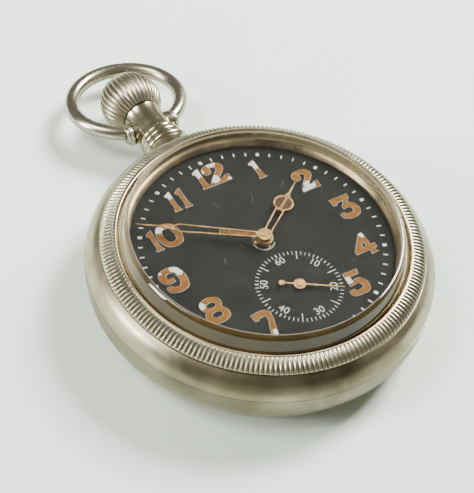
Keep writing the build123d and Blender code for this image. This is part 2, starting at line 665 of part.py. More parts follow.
with BuildPart() as crown_wheel:
    with BuildSketch(Plane.XY.offset(2.95)):
        with BuildLine():
            Polyline(*gear(30, 0.24, ph_crown_w, CROWN_W), close=True)
        make_face()
        with Locations(CROWN_W):
            Circle(1.05, mode=Mode.SUBTRACT)
    extrude(amount=0.55)
    # contrate teeth facing the winding pinion
    with BuildSketch(Plane.XY.offset(3.5)):
        with Locations(CROWN_W):
            with PolarLocations(3.05, 30):
                Rectangle(0.7, 0.28)
    extrude(amount=0.36)
crown_wheel.part.label = "crown_wheel"
export_step(crown_wheel.part, "parts/crown_wheel.step")

with BuildPart() as crown_wheel_screw:
    with Locations((CROWN_W[0], CROWN_W[1], 2.6)):
        Cylinder(1.7, 0.33, align=LOW)
    with Locations((CROWN_W[0], CROWN_W[1], 2.9)):
        Cylinder(1.02, 0.69, align=LOW)
    with Locations((CROWN_W[0], CROWN_W[1], 3.5)):
        Cylinder(0.5, 0.38, align=LOW)
    with Locations((CROWN_W[0] - 0.8, CROWN_W[1], 2.5)):
        Cylinder(0.2, 0.3, align=LOW, mode=Mode.SUBTRACT)
    with Locations((CROWN_W[0] + 0.8, CROWN_W[1], 2.5)):
        Cylinder(0.2, 0.3, align=LOW, mode=Mode.SUBTRACT)
crown_wheel_screw.part.label = "crown_wheel_screw"
export_step(crown_wheel_screw.part, "parts/crown_wheel_screw.step")

with BuildPart() as click:
    with BuildSketch(Plane.XY.offset(2.98)):
        with Locations(CLICK_AT):
            Circle(0.9)
        with BuildLine():
            Polyline((15.75, 9.7), (15.22, 6.95), (15.45, 6.8), (17.2, 9.4), close=True)
        make_face()
    extrude(amount=0.5)
    with Locations((CLICK_AT[0], CLICK_AT[1], 2.7)):
        Cylinder(0.6, 0.4, align=LOW)
click.part.label = "click"
export_step(click.part, "parts/click.step")

with BuildPart() as click_spring:
    with BuildSketch(Plane.XY.offset(3.0)):
        with BuildLine():
            Polyline((11.2, 15.4), (12.6, 14.4), (15.2, 12.1), (17.3, 11.35), (18.0, 9.9), (17.85, 8.6),
                     (17.7, 8.6), (17.82, 9.8), (17.15, 11.15), (15.1, 11.85), (12.2, 13.2), (10.6, 14.4),
                     close=True)
        make_face()
    extrude(amount=0.35)
    with Locations((11.7, 14.5, 3.3)):
        Cylinder(0.5, 0.29, align=LOW)
click_spring.part.label = "click_spring"
export_step(click_spring.part, "parts/click_spring.step")

# =====================================================================  GOING TRAIN


def wheel_rim(points, centre, rim, hub, arms, width, start=0.0):
    """Spoked wheel profile in the open sketch: toothed rim, round hub and straight arms."""
    Polygon(*points, align=None)
    with Locations(centre):
        Circle(rim, mode=Mode.SUBTRACT)
        Circle(hub)
        with PolarLocations(0, arms, start_angle=start):
            Rectangle(rim + 0.1, width, align=(Align.MIN, Align.CENTER))


ph_centre_w = 0.0
ph_third_p = meshed(80, ph_centre_w, 10, angle_to(CENTRE, THIRD))
with BuildPart() as center_wheel:
    with BuildSketch(Plane.XY.offset(6.6)):
        wheel_rim(gear(80, 0.17, ph_centre_w), CENTRE, 5.8, 1.5, 5, 0.6)
    extrude(amount=0.25)
    with BuildSketch(Plane.XY.offset(4.62)):
        with BuildLine():
            Polyline(*gear(12, 0.2, ph_centre_p), close=True)
        make_face()
    extrude(amount=0.7)
    for r, z0, z1 in ((PIVOT, 3.75, 4.7), (0.6, 4.6, 6.7), (0.75, 6.6, 8.0), (0.32, 7.9, 11.25)):
        with Locations((0, 0, z0)):
            Cylinder(r, z1 - z0, align=LOW)
center_wheel.part.label = "center_wheel"
export_step(center_wheel.part, "parts/center_wheel.step")

ph_third_w = 0.05
ph_fourth_p = meshed(75, ph_third_w, 10, angle_to(THIRD, FOURTH))
with BuildPart() as third_wheel:
    with BuildSketch(Plane.XY.offset(6.22)):
        wheel_rim(gear(75, 0.15, ph_third_w, THIRD), THIRD, 4.75, 1.2, 5, 0.5, 20)
    extrude(amount=0.2)
    with BuildSketch(Plane.XY.offset(6.4)):
        with BuildLine():
            Polyline(*gear(10, 0.17, ph_third_p, THIRD), close=True)
        make_face()
    extrude(amount=0.5)
    for r, z0, z1 in ((PIVOT, 3.75, 4.7), (0.4, 4.6, 6.9), (PIVOT, 6.8, 8.4)):
        with Locations((THIRD[0], THIRD[1], z0)):
            Cylinder(r, z1 - z0, align=LOW)
third_wheel.part.label = "third_wheel"
export_step(third_wheel.part, "parts/third_wheel.step")

ph_fourth_w = 0.02
ph_escape_p = meshed(80, ph_fourth_w, 8, angle_to(FOURTH, ESCAPE))
with BuildPart() as fourth_wheel:
    with BuildSketch(Plane.XY.offset(5.2)):
        wheel_rim(gear(80, 0.12, ph_fourth_w, FOURTH), FOURTH, 4.05, 1.1, 5, 0.45, 8)
    extrude(amount=0.2)
    with BuildSketch(Plane.XY.offset(6.08)):
        with BuildLine():
            Polyline(*gear(10, 0.15, ph_fourth_p, FOURTH), close=True)
        make_face()
    extrude(amount=0.5)
    for r, z0, z1 in ((PIVOT, 3.75, 4.7), (0.4, 4.6, 6.9), (0.33, 6.8, 9.85), (0.25, 9.8, 10.3)):
        with Locations((FOURTH[0], FOURTH[1], z0)):
            Cylinder(r, z1 - z0, align=LOW)
fourth_wheel.part.label = "fourth_wheel"
export_step(fourth_wheel.part, "parts/fourth_wheel.step")

ESC_R = 2.6
with BuildPart() as escape_wheel:
    with BuildSketch(Plane.XY.offset(5.88)):
        teeth = []
        for k in range(15):
            b = 2 * pi * k / 15
            for rad, t in ((2.0, 0.0), (2.12, -0.02), (ESC_R, 0.03), (ESC_R, 0.13), (2.0, 0.2)):
                teeth.append((ESCAPE[0] + rad * cos(b + t), ESCAPE[1] + rad * sin(b + t)))
        wheel_rim(teeth, ESCAPE, 1.6, 0.7, 4, 0.3)
    extrude(amount=0.2)
    with BuildSketch(Plane.XY.offset(5.0)):
        with BuildLine():
            Polyline(*gear(8, 0.12, ph_escape_p, ESCAPE), close=True)
        make_face()
    extrude(amount=0.6)
    for r, z0, z1 in ((PIVOT, 3.75, 4.7), (0.3, 4.6, 6.9), (PIVOT, 6.8, 8.4)):
        with Locations((ESCAPE[0], ESCAPE[1], z0)):
            Cylinder(r, z1 - z0, align=LOW)
escape_wheel.part.label = "escape_wheel"
export_step(escape_wheel.part, "parts/escape_wheel.step")

# =====================================================================  ESCAPEMENT AND BALANCE
along = Plane(origin=(PALLET[0], PALLET[1], 5.86), x_dir=(LINE[0], LINE[1], 0), z_dir=(0, 0, 1))
with BuildPart() as pallet_stones:
    with BuildSketch(along):
        for s in (-1, 1):
            with Locations(Location((-3.0 + 3.05 * cos(pi / 6), s * 3.05 * sin(pi / 6)), s * 30)):
                Rectangle(0.55, 0.28)
    extrude(amount=0.28)
pallet_stones.part.label = "pallet_stones"
export_step(pallet_stones.part, "parts/pallet_stones.step")

with BuildPart() as pallet_fork:
    with BuildSketch(along):
        Circle(0.5)
        for s in (-1, 1):
            with BuildLine():
                Polyline((0.35, 0), (0.4, s * 1.3), (0.25, s * 2.0), (-0.25, s * 2.0), (-0.4, s * 1.75),
                         (-0.3, s * 1.2), (-0.35, 0), close=True)
            make_face()
        with BuildLine():
            Polyline((0.2, -0.25), (1.7, -0.16), (1.85, -0.4), (2.35, -0.42), (2.35, -0.2), (2.0, -0.14),
                     (2.0, 0.14), (2.35, 0.2), (2.35, 0.42), (1.85, 0.4), (1.7, 0.16), (0.2, 0.25), close=True)
        make_face()
        for s in (-1, 1):
            with Locations(Location((-3.0 + 3.05 * cos(pi / 6), s * 3.05 * sin(pi / 6)), s * 30)):
                Rectangle(0.57, 0.3, mode=Mode.SUBTRACT)
    extrude(amount=0.22)
    with Locations((PALLET[0], PALLET[1], 5.75)):
        Cylinder(0.3, 1.15, align=LOW)
    with Locations((PALLET[0], PALLET[1], 5.3)):
        Cylinder(0.15, 0.5, align=LOW)
    with Locations((PALLET[0], PALLET[1], 6.8)):
        Cylinder(PIVOT, 1.6, align=LOW)
pallet_fork.part.label = "pallet_fork"
export_step(pallet_fork.part, "parts/pallet_fork.step")

with BuildPart() as pallet_bridge:
    with BuildSketch(Plane(origin=(PALLET[0], PALLET[1], 5.48), x_dir=(SIDE[0], SIDE[1], 0), z_dir=(0, 0, 1))):
        SlotOverall(7.6, 1.5)
        Circle(0.18, mode=Mode.SUBTRACT)
    extrude(amount=0.24)
    for s in (-1, 1):
        with Locations((PALLET[0] + s * 3.05 * SIDE[0], PALLET[1] + s * 3.05 * SIDE[1], 5.6)):
            Cylinder(0.7, PLATE_LOW - 5.6 - 0.01, align=LOW)
pallet_bridge.part.label = "pallet_bridge"
export_step(pallet_bridge.part, "parts/pallet_bridge.step")

BAL_R = 5.75
with BuildPart() as balance_wheel:
    with BuildSketch(Plane.XY.offset(4.85)):
        with Locations(BALANCE):
            Circle(BAL_R)
            Circle(BAL_R - 0.75, mode=Mode.SUBTRACT)
            Rectangle(2 * BAL_R - 1.0, 0.6, rotation=35)
            Circle(0.9)
            Circle(0.36, mode=Mode.SUBTRACT)
    extrude(amount=0.42)
balance_wheel.part.label = "balance_wheel"
export_step(balance_wheel.part, "parts/balance_wheel.step")

with BuildPart() as balance_screws:
    for k in range(14):
        a = 2 * pi * (k + 0.5) / 14 + 0.1
        with BuildSketch(Plane(origin=(BALANCE[0] + (BAL_R + 0.01) * cos(a), BALANCE[1] + (BAL_R + 0.01) * sin(a),
                                       5.06), z_dir=(cos(a), sin(a), 0))):
            Circle(0.19)
        extrude(amount=0.24)
balance_screws.part.label = "balance_screws"
export_step(balance_screws.part, "parts/balance_screws.step")

with BuildPart() as balance_staff:
    for r, z0, z1 in ((0.12, 3.5, 4.2), (0.3, 4.15, 4.35), (0.55, 4.3, 4.62), (0.34, 4.6, 5.35), (0.55, 5.28, 5.45),
                      (0.3, 5.4, 6.92), (PIVOT, 6.9, 8.4)):
        with Locations((BALANCE[0], BALANCE[1], z0)):
            Cylinder(r, z1 - z0, align=LOW)
balance_staff.part.label = "balance_staff"
export_step(balance_staff.part, "parts/balance_staff.step")

with BuildPart() as roller:
    with BuildSketch(Plane.XY.offset(6.2)):
        with Locations(BALANCE):
            Circle(1.0)
            Circle(0.32, mode=Mode.SUBTRACT)
    extrude(amount=0.3)
    with Locations((BALANCE[0] - 0.75 * LINE[0], BALANCE[1] - 0.75 * LINE[1], 5.75)):
        Cylinder(0.14, 0.5, align=LOW)
roller.part.label = "roller"
export_step(roller.part, "parts/roller.step")

with BuildPart() as hairspring:
    with BuildSketch(Plane.XY.offset(4.38)):
        with BuildLine():
            inner = spiral(0.72, 2.4, 7)
            outer = spiral(0.78, 2.46, 7)
            h0 = Spline(*[(BALANCE[0] + x, BALANCE[1] + y) for x, y in inner])
            h1 = Spline(*[(BALANCE[0] + x, BALANCE[1] + y) for x, y in outer])
            Line(h0 @ 0, h1 @ 0)
            Line(h0 @ 1, h1 @ 1)
        make_face()
    extrude(amount=0.2)
hairspring.part.label = "hairspring"
export_step(hairspring.part, "parts/hairspring.step")

with BuildPart() as hairspring_stud:
    with Locations((BALANCE[0] + 2.62, BALANCE[1] + 0.25, 4.12)):
        Cylinder(0.15, 0.5, align=LOW)
hairspring_stud.part.label = "hairspring_stud"
export_step(hairspring_stud.part, "parts/hairspring_stud.step")

cock_angle = angle_to(BALANCE, PILLAR[0])
with BuildPart() as balance_cock:
    with BuildSketch(Plane(origin=(BALANCE[0], BALANCE[1], 3.3), x_dir=(cos(cock_angle), sin(cock_angle), 0),
                           z_dir=(0, 0, 1))):
        Circle(3.2)
        with BuildLine():
            Polyline((0, -2.6), (10.5, -2.0), (12.0, -1.2), (12.0, 1.2), (10.5, 2.0), (0, 2.6), close=True)
        make_face()
        Circle(0.9, mode=Mode.SUBTRACT)
        # slot for the curb pins
        with BuildLine():
            c0 = CenterArc((0, 0), 2.42, 150, 60)
            c1 = CenterArc((0, 0), 2.8, 150, 60)
            Line(c0 @ 0, c1 @ 0)
            Line(c0 @ 1, c1 @ 1)
        make_face(mode=Mode.SUBTRACT)
    extrude(amount=0.8)
    with Locations((PILLAR[0][0], PILLAR[0][1], 4.0)):
        Cylinder(1.8, PLATE_LOW - 4.0 - 0.01, align=LOW)
    with Locations((PILLAR[0][0], PILLAR[0][1], 3.0)):
        Cylinder(0.47, 5, align=LOW, mode=Mode.SUBTRACT)
balance_cock.part.label = "balance_cock"
export_step(balance_cock.part, "parts/balance_cock.step")

with BuildPart() as cock_screw:
    with Locations((PILLAR[0][0], PILLAR[0][1], 2.85)):
        Cylinder(0.95, 0.44, align=LOW)
    with Locations((PILLAR[0][0], PILLAR[0][1], 3.2)):
        Cylinder(0.45, 4.9, align=LOW)
    with Locations((PILLAR[0][0], PILLAR[0][1], 2.85)):
        Box(2.2, 0.2, 0.2, align=LOW, mode=Mode.SUBTRACT)
cock_screw.part.label = "cock_screw"
export_step(cock_screw.part, "parts/cock_screw.step")

with BuildPart() as endstone_cap:
    with Locations((BALANCE[0], BALANCE[1], 2.98)):
        Cylinder(1.25, 0.31, align=LOW)
    with Locations((BALANCE[0], BALANCE[1], 3.28)):
        Cylinder(0.88, 0.7, align=LOW)
    with Locations((BALANCE[0], BALANCE[1], 3.45)):
        Cylinder(0.16, 1.0, align=LOW, mode=Mode.SUBTRACT)
endstone_cap.part.label = "endstone_cap"
export_step(endstone_cap.part, "parts/endstone_cap.step")

with BuildPart() as regulator:
    with BuildSketch(Plane(origin=(BALANCE[0], BALANCE[1], 3.06), x_dir=(cos(cock_angle), sin(cock_angle), 0),
                           z_dir=(0, 0, 1))):
        Circle(1.85)
        with BuildLine():
            Polyline((-1.0, -0.4), (-2.9, -0.22), (-2.9, 0.22), (-1.0, 0.4), close=True)
        make_face()
        with BuildLine():
            Polyline((1.0, -0.4), (6.3, -0.08), (6.3, 0.08), (1.0, 0.4), close=True)
        make_face()
        Circle(1.29, mode=Mode.SUBTRACT)
    extrude(amount=0.22)
    with Locations((BALANCE[0] - 2.61 * cos(cock_angle), BALANCE[1] - 2.61 * sin(cock_angle), 3.1)):
        Cylinder(0.1, 1.2, align=LOW)
regulator.part.label = "regulator"
export_step(regulator.part, "parts/regulator.step")

# =====================================================================  KEYLESS WORK
with BuildPart() as winding_pinion:
    with BuildSketch(ALONG_Y.offset(15.2)):
        with BuildLine():
            Polyline(*gear(14, 0.18, 0.1), close=True)
        make_face()
    extrude(amount=1.0)
    with BuildSketch(ALONG_Y.offset(16.2)):
        Circle(1.0)
    extrude(amount=1.0)
    with BuildSketch(ALONG_Y.offset(15)):
        Circle(0.66)
    extrude(amount=3, mode=Mode.SUBTRACT)
winding_pinion.part.label = "winding_pinion"
export_step(winding_pinion.part, "parts/winding_pinion.step")

with BuildPart() as clutch:
    with BuildSketch(Plane(origin=(0, 0, STEM_Z), x_dir=(1, 0, 0), z_dir=(0, 0, 1))):
        with BuildLine():
            Polyline((0.54, 12.2), (1.2, 12.2), (1.2, 12.9), (0.8, 12.9), (0.8, 13.5), (1.2, 13.5),
                     (1.2, 15.1), (0.54, 15.1), (0.54, 12.2))
        make_face()
    revolve(axis=Axis(origin=(0, 0, STEM_Z), direction=(0, 1, 0)))
    for k in range(12):
        with BuildSketch(Plane(origin=(0, 12.1, STEM_Z), x_dir=(cos(pi * k / 6), 0, sin(pi * k / 6)),
                               z_dir=(0, 1, 0))):
            with Locations((1.1, 0)):
                Rectangle(0.5, 0.26)
        extrude(amount=0.45, mode=Mode.SUBTRACT)
clutch.part.label = "clutch"
export_step(clutch.part, "parts/clutch.step")

with BuildPart() as setting_lever:
    with BuildSketch(Plane.XY.offset(6.64)):
        with Locations(LEVER_AT):
            Circle(0.75)
        with BuildLine():
            Polyline((3.3, 16.2), (4.0, 17.6), (1.2, 18.35), (-0.3, 18.35), (-0.3, 17.8), (0.9, 17.6), close=True)
        make_face()
    extrude(amount=0.28)
    with Locations((LEVER_AT[0], LEVER_AT[1], 6.8)):
        Cylinder(0.3, 1.2, align=LOW)
    with Locations((LEVER_PIN[0], LEVER_PIN[1], 5.86)):
        Cylinder(0.2, 0.9, align=LOW)
setting_lever.part.label = "setting_lever"
export_step(setting_lever.part, "parts/setting_lever.step")

with BuildPart() as yoke:
    with BuildSketch(Plane.XY.offset(6.64)):
        with Locations(YOKE_AT):
            Circle(0.75)
        with BuildLine():
            Polyline((-5.0, 14.2), (-4.6, 14.1), (-0.9, 13.42), (-0.9, 12.98), (-4.6, 13.0), (-5.0, 13.0),
                     close=True)
        make_face()
    extrude(amount=0.28)
    with Locations((YOKE_AT[0], YOKE_AT[1], 6.8)):
        Cylinder(0.3, 1.2, align=LOW)
    with Locations((-1.08, CLUTCH_GROOVE, 5.0)):
        Box(0.3, 0.4, 1.7, align=LOW)
yoke.part.label = "yoke"
export_step(yoke.part, "parts/yoke.step")

with BuildPart() as yoke_spring:
    with BuildSketch(Plane.XY.offset(6.66)):
        with BuildLine():
            Polyline((-9.2, 15.0), (-8.2, 15.0), (-6.5, 14.95), (-3.0, 14.55), (-3.0, 14.4), (-6.5, 14.75),
                     (-8.2, 14.5), (-9.2, 14.0), close=True)
        make_face()
    extrude(amount=0.22)
    with Locations((-8.8, 14.5, 6.66)):
        Cylinder(0.7, 0.33, align=LOW)
yoke_spring.part.label = "yoke_spring"
export_step(yoke_spring.part, "parts/yoke_spring.step")
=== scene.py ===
import json
import math

import bmesh
import bpy
from mathutils import Matrix, Vector


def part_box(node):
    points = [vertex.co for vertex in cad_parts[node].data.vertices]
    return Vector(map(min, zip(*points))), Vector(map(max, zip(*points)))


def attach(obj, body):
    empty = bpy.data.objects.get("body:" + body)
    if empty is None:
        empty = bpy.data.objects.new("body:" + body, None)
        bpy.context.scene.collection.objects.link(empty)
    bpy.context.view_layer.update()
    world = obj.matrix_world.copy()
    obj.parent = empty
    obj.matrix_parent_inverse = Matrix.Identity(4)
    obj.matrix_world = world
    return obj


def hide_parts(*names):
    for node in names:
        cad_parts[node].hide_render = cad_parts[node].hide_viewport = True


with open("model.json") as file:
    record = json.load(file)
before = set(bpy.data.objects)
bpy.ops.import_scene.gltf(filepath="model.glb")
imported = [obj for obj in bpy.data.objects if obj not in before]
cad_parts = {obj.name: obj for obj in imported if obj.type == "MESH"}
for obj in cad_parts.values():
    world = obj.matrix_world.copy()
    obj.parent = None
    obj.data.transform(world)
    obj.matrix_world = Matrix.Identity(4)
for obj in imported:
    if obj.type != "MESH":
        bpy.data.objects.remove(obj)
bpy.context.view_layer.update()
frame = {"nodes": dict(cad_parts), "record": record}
nodes = frame["nodes"]
MM = 0.001

# Sizes are in millimetres and angles in degrees, unless a comment says otherwise.
DIAL_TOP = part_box("dial")[1].z / MM
SMALL_SECONDS = (0.0, -9.35)    # centre of the small seconds
HOUR_AT = 55.35                 # where the hands point, clockwise from 12
MINUTE_AT = 304.2
HOUR_HAND_Z = 10.57             # underside of the paint held in each hand
MINUTE_HAND_Z = 11.14
HAND_PAINT = 0.1                # its thickness
HAND_PAINT_BEVEL = 0.03


# ------------------------------------------------------------------ node helpers
class Shade:
    """One material's node tree, with short calls for the nodes it needs."""

    def __init__(self, name):
        self.mat = bpy.data.materials.new(name)
        self.mat.use_nodes = True
        self.nt = self.mat.node_tree
        self.bsdf = self.nt.nodes["Principled BSDF"]
        self.out = self.nt.nodes["Material Output"]
        self.pos = self.add("ShaderNodeTexCoord").outputs["Object"]

    def add(self, kind, **props):
        """A new node, with its own settings."""
        n = self.nt.nodes.new(kind)
        for k, v in props.items():
            setattr(n, k, v)
        return n

    def put(self, socket, value):
        """Links an output to a socket, or sets the socket to a number or colour."""
        if isinstance(value, bpy.types.NodeSocket):
            self.nt.links.new(value, socket)
        elif isinstance(value, (tuple, list)) and len(value) == 3 and socket.type == "RGBA":
            socket.default_value = (*value, 1)
        else:
            socket.default_value = value

    def set(self, **values):
        """Puts values on the Principled shader's inputs, named with _ for each space."""
        for k, v in values.items():
            self.put(self.bsdf.inputs[k.replace("_", " ")], v)

    def noise(self, per_mm, detail=4, rough=0.55, distort=0.0, at=None):
        """Cloudy noise, with about per_mm features in a millimetre."""
        n = self.add("ShaderNodeTexNoise")
        self.put(n.inputs["Vector"], at or self.pos)
        n.inputs["Scale"].default_value = per_mm / MM
        n.inputs["Detail"].default_value = detail
        n.inputs["Roughness"].default_value = rough
        n.inputs["Distortion"].default_value = distort
        return n.outputs["Fac"]

    def cells(self, per_mm):
        """Distance from the nearest of a scatter of points."""
        n = self.add("ShaderNodeTexVoronoi")
        self.put(n.inputs["Vector"], self.pos)
        n.inputs["Scale"].default_value = per_mm / MM
        return n.outputs["Distance"]

    def stretch(self, sx, sy, sz, turn=0.0):
        """Coordinates scaled along each axis, then turned about Z."""
        n = self.add("ShaderNodeMapping")
        self.put(n.inputs["Vector"], self.pos)
        n.inputs["Scale"].default_value = (sx, sy, sz)
        n.inputs["Rotation"].default_value = (0, 0, math.radians(turn))
        return n.outputs["Vector"]

    def ramp(self, fac, lo, hi, a=0.0, b=1.0):
        """A smooth step from a at lo to b at hi."""
        n = self.add("ShaderNodeMapRange", interpolation_type="SMOOTHSTEP")
        self.put(n.inputs["Value"], fac)
        for k, v in (("From Min", lo), ("From Max", hi), ("To Min", a), ("To Max", b)):
            n.inputs[k].default_value = v
        return n.outputs["Result"]

    def math(self, op, a, b=0.0, clamp=False):
        n = self.add("ShaderNodeMath", operation=op, use_clamp=clamp)
        self.put(n.inputs[0], a)
        self.put(n.inputs[1], b)
        return n.outputs[0]

    def largest(self, masks):
        """The largest of several masks at each point."""
        top = masks[0]
        for mask in masks[1:]:
            top = self.math("MAXIMUM", top, mask)
        return top

    def mix(self, fac, a, b):
        """Colour a where fac is 0 and colour b where it is 1."""
        n = self.add("ShaderNodeMix", data_type="RGBA")
        self.put(n.inputs[0], fac)
        self.put(n.inputs[6], a)
        self.put(n.inputs[7], b)
        return n.outputs[2]

    def bump(self, height, strength, depth_mm, under=None):
        """A normal that follows height, laid over another one if given."""
        n = self.add("ShaderNodeBump")
        n.inputs["Strength"].default_value = strength
        n.inputs["Distance"].default_value = depth_mm * MM
        self.put(n.inputs["Height"], height)
        if under is not None:
            self.put(n.inputs["Normal"], under)
        return n.outputs["Normal"]

    def out_from_centre(self):
        """Distance from the watch's own axis, in metres."""
        flat = self.add("ShaderNodeVectorMath", operation="MULTIPLY")
        self.put(flat.inputs[0], self.pos)
        flat.inputs[1].default_value = (1, 1, 0)
        reach = self.add("ShaderNodeVectorMath", operation="LENGTH")
        self.put(reach.inputs[0], flat.outputs["Vector"])
        return reach.outputs["Value"]

    def distance(self, x, y, z):
        """Distance from a point given in millimetres, in metres."""
        n = self.add("ShaderNodeVectorMath", operation="DISTANCE")
        self.put(n.inputs[0], self.pos)
        n.inputs[1].default_value = (x * MM, y * MM, z * MM)
        return n.outputs["Value"]

    def near(self, x, y, z, radius, soft):
        """1 within radius of a point, fading to 0 over soft."""
        return self.ramp(self.distance(x, y, z), radius * MM, (radius + soft) * MM, 1.0, 0.0)

    def within(self, radius, soft):
        """1 within radius of the watch's own axis, fading to 0 over soft."""
        return self.ramp(self.out_from_centre(), radius * MM, (radius + soft) * MM, 1.0, 0.0)

    def scratch(self, x, y, radius, at, reach):
        """A hair scratch in the dial: part of a circle round x, y, close to the point at."""
        off = self.math("ABSOLUTE", self.math("SUBTRACT", self.distance(x, y, DIAL_TOP), radius * MM))
        line = self.ramp(off, 0.035 * MM, 0.075 * MM, 1.0, 0.0)
        return self.math("MULTIPLY", line, self.near(at[0], at[1], DIAL_TOP, reach, 0.5))


# ------------------------------------------------------------------ materials
WALL_R = 21.34                  # the bezel's inner wall is inside this radius
LIP_R = 21.70                   # and its gilt lip inside this one
GLASS_EDGE_R = (19.62, 19.82)   # the glass turns from clear to yellowed between these


def scaled(colour, by):
    """A colour made lighter or darker."""
    return tuple(c * by for c in colour)


def aged_metal(name, base, stain, rough=(0.26, 0.42), pits=0.5, wave=0.15, stained=0.55, dark=(), inner=None):
    """Polished nickel silver that has aged: stains, dull patches, pits and hair scratches.

    dark is a list of places painted darker, stains and painted shade, and inner the browner colour of the wall
    round the dial.
    """
    s = Shade(name)
    cloud = s.noise(0.11, 5, 0.6, 0.4)
    grime = s.ramp(s.noise(0.55, 7, 0.68, 0.8), 0.46, 0.74)
    patch = s.math("MULTIPLY", s.ramp(cloud, 0.42, 0.66), stained)
    colour = s.mix(patch, base, stain)
    colour = s.mix(s.math("MULTIPLY", grime, stained * 0.55), colour, scaled(stain, 0.62))
    spots = s.ramp(s.cells(1.5), 0.05, 0.13, 1.0, 0.0)
    spots = s.math("MULTIPLY", spots, s.ramp(s.noise(0.4, 2), 0.5, 0.62))
    colour = s.mix(s.math("MULTIPLY", spots, pits), colour, scaled(stain, 0.35))
    # darker places: stains, and in the case's list also painted shade on the front flank
    for x, y, z, radius, soft, much, deep in dark:
        uneven = s.ramp(s.noise(0.09, 4, 0.6), 0.3, 0.55, 0.55, 1.0)
        here = s.math("MULTIPLY", s.near(x, y, z, radius, soft), uneven)
        colour = s.mix(s.math("MULTIPLY", here, much), colour, scaled(stain, deep))
    if inner:
        axes = s.add("ShaderNodeSeparateXYZ")
        s.put(axes.inputs[0], s.pos)
        below_lip = s.ramp(axes.outputs["Z"], 12.1 * MM, 12.3 * MM, 1.0, 0.0)
        wall = s.math("MULTIPLY", s.within(WALL_R, 0.08), below_lip)
        gilt_lip = s.math("MULTIPLY", s.within(LIP_R, 0.10), 0.65)
        brown = s.mix(s.ramp(s.noise(0.16, 4, 0.6), 0.38, 0.62), inner, scaled(inner, 0.5))
        colour = s.mix(gilt_lip, colour, scaled(inner, 1.5))
        colour = s.mix(wall, colour, brown)
    dull = s.math("ADD", s.ramp(cloud, 0.3, 0.7, rough[0], rough[1]), s.math("MULTIPLY", grime, 0.1))
    hair = s.noise(2.2, 3, 0.6, 0.0, s.stretch(1.0, 0.07, 1.0, 28))
    normal = s.bump(hair, 0.10, 0.02)
    normal = s.bump(s.noise(0.22, 2, 0.5), wave, 0.10, normal)
    normal = s.bump(s.math("MULTIPLY", spots, -1.0), 0.5 * pits, 0.03, normal)
    s.set(Base_Color=colour, Roughness=dull, Normal=normal, Metallic=1.0)
    return s.mat


def glass():
    """Clear glass with a yellowed edge and brown cement showing through it, and more brown toward 4 to 10, on
    the side toward the camera, as a painted image of the bezel's dark inner wall seen through the edge.

    It is clear to shadow and diffuse rays, so that the dial is lit once, by the lamps.
    """
    s = Shade("crystal_glass")
    edge = s.ramp(s.out_from_centre(), GLASS_EDGE_R[0] * MM, GLASS_EDGE_R[1] * MM)
    yellow = s.mix(s.ramp(s.noise(0.12, 4, 0.6), 0.35, 0.65), (0.76, 0.66, 0.42), (0.62, 0.49, 0.26))
    brown = s.mix(s.ramp(s.noise(0.16, 4, 0.6), 0.35, 0.65), (0.062, 0.040, 0.010), (0.036, 0.023, 0.006))
    # the brown edge is cement all round, and is partly cement and partly a painted image of the bezel's dark
    # inner wall seen through the glass's edge; there is more of it from 4 round to 10, on the side toward the
    # camera
    near_side_wall_image = s.near(-10.0, -17.0, 12.0, 17.0, 16.0)
    edge_brown = s.math("MULTIPLY", edge, s.math("ADD", s.math("MULTIPLY", near_side_wall_image, 0.55), 0.45))
    colour = s.mix(edge_brown, s.mix(edge, (0.975, 0.985, 0.97), yellow), brown)
    open_share = s.math("SUBTRACT", 1.0, s.math("MULTIPLY", edge_brown, 0.7))
    s.set(Base_Color=colour, IOR=1.5, Transmission_Weight=open_share,
          Roughness=s.math("MULTIPLY", edge, 0.05))
    path = s.add("ShaderNodeLightPath")
    clear = s.add("ShaderNodeBsdfTransparent")
    clear.inputs["Color"].default_value = (0.93, 0.94, 0.92, 1)
    both = s.add("ShaderNodeMixShader")
    s.put(both.inputs[0], s.largest([path.outputs["Is Shadow Ray"], path.outputs["Is Diffuse Ray"]]))
    s.put(both.inputs[1], s.bsdf.outputs["BSDF"])
    s.put(both.inputs[2], clear.outputs["BSDF"])
    s.put(s.out.inputs["Surface"], both.outputs["Shader"])
    return s.mat


# hair scratches in the dial: x, y and radius of their circles, a point on each, and how far they reach
SCRATCHES = ((1.6, 8.9, 1.9, (3.3, 8.1), 0.7), (-4.6, 8.4, 2.4, (-2.5, 9.5), 0.6),
             (-9.0, -1.0, 6.0, (-3.2, 0.8), 0.3), (4.0, 16.0, 9.0, (9.2, 8.4), 0.5),
             (-14.0, 2.0, 7.5, (-7.0, -0.6), 0.25))
# where the dial is rubbed: x, y, radius and softness
RUBBED = ((3.0, 8.3, 0.7, 1.0), (-2.6, 10.4, 0.4, 0.6), (-1.0, 8.4, 0.3, 0.5))


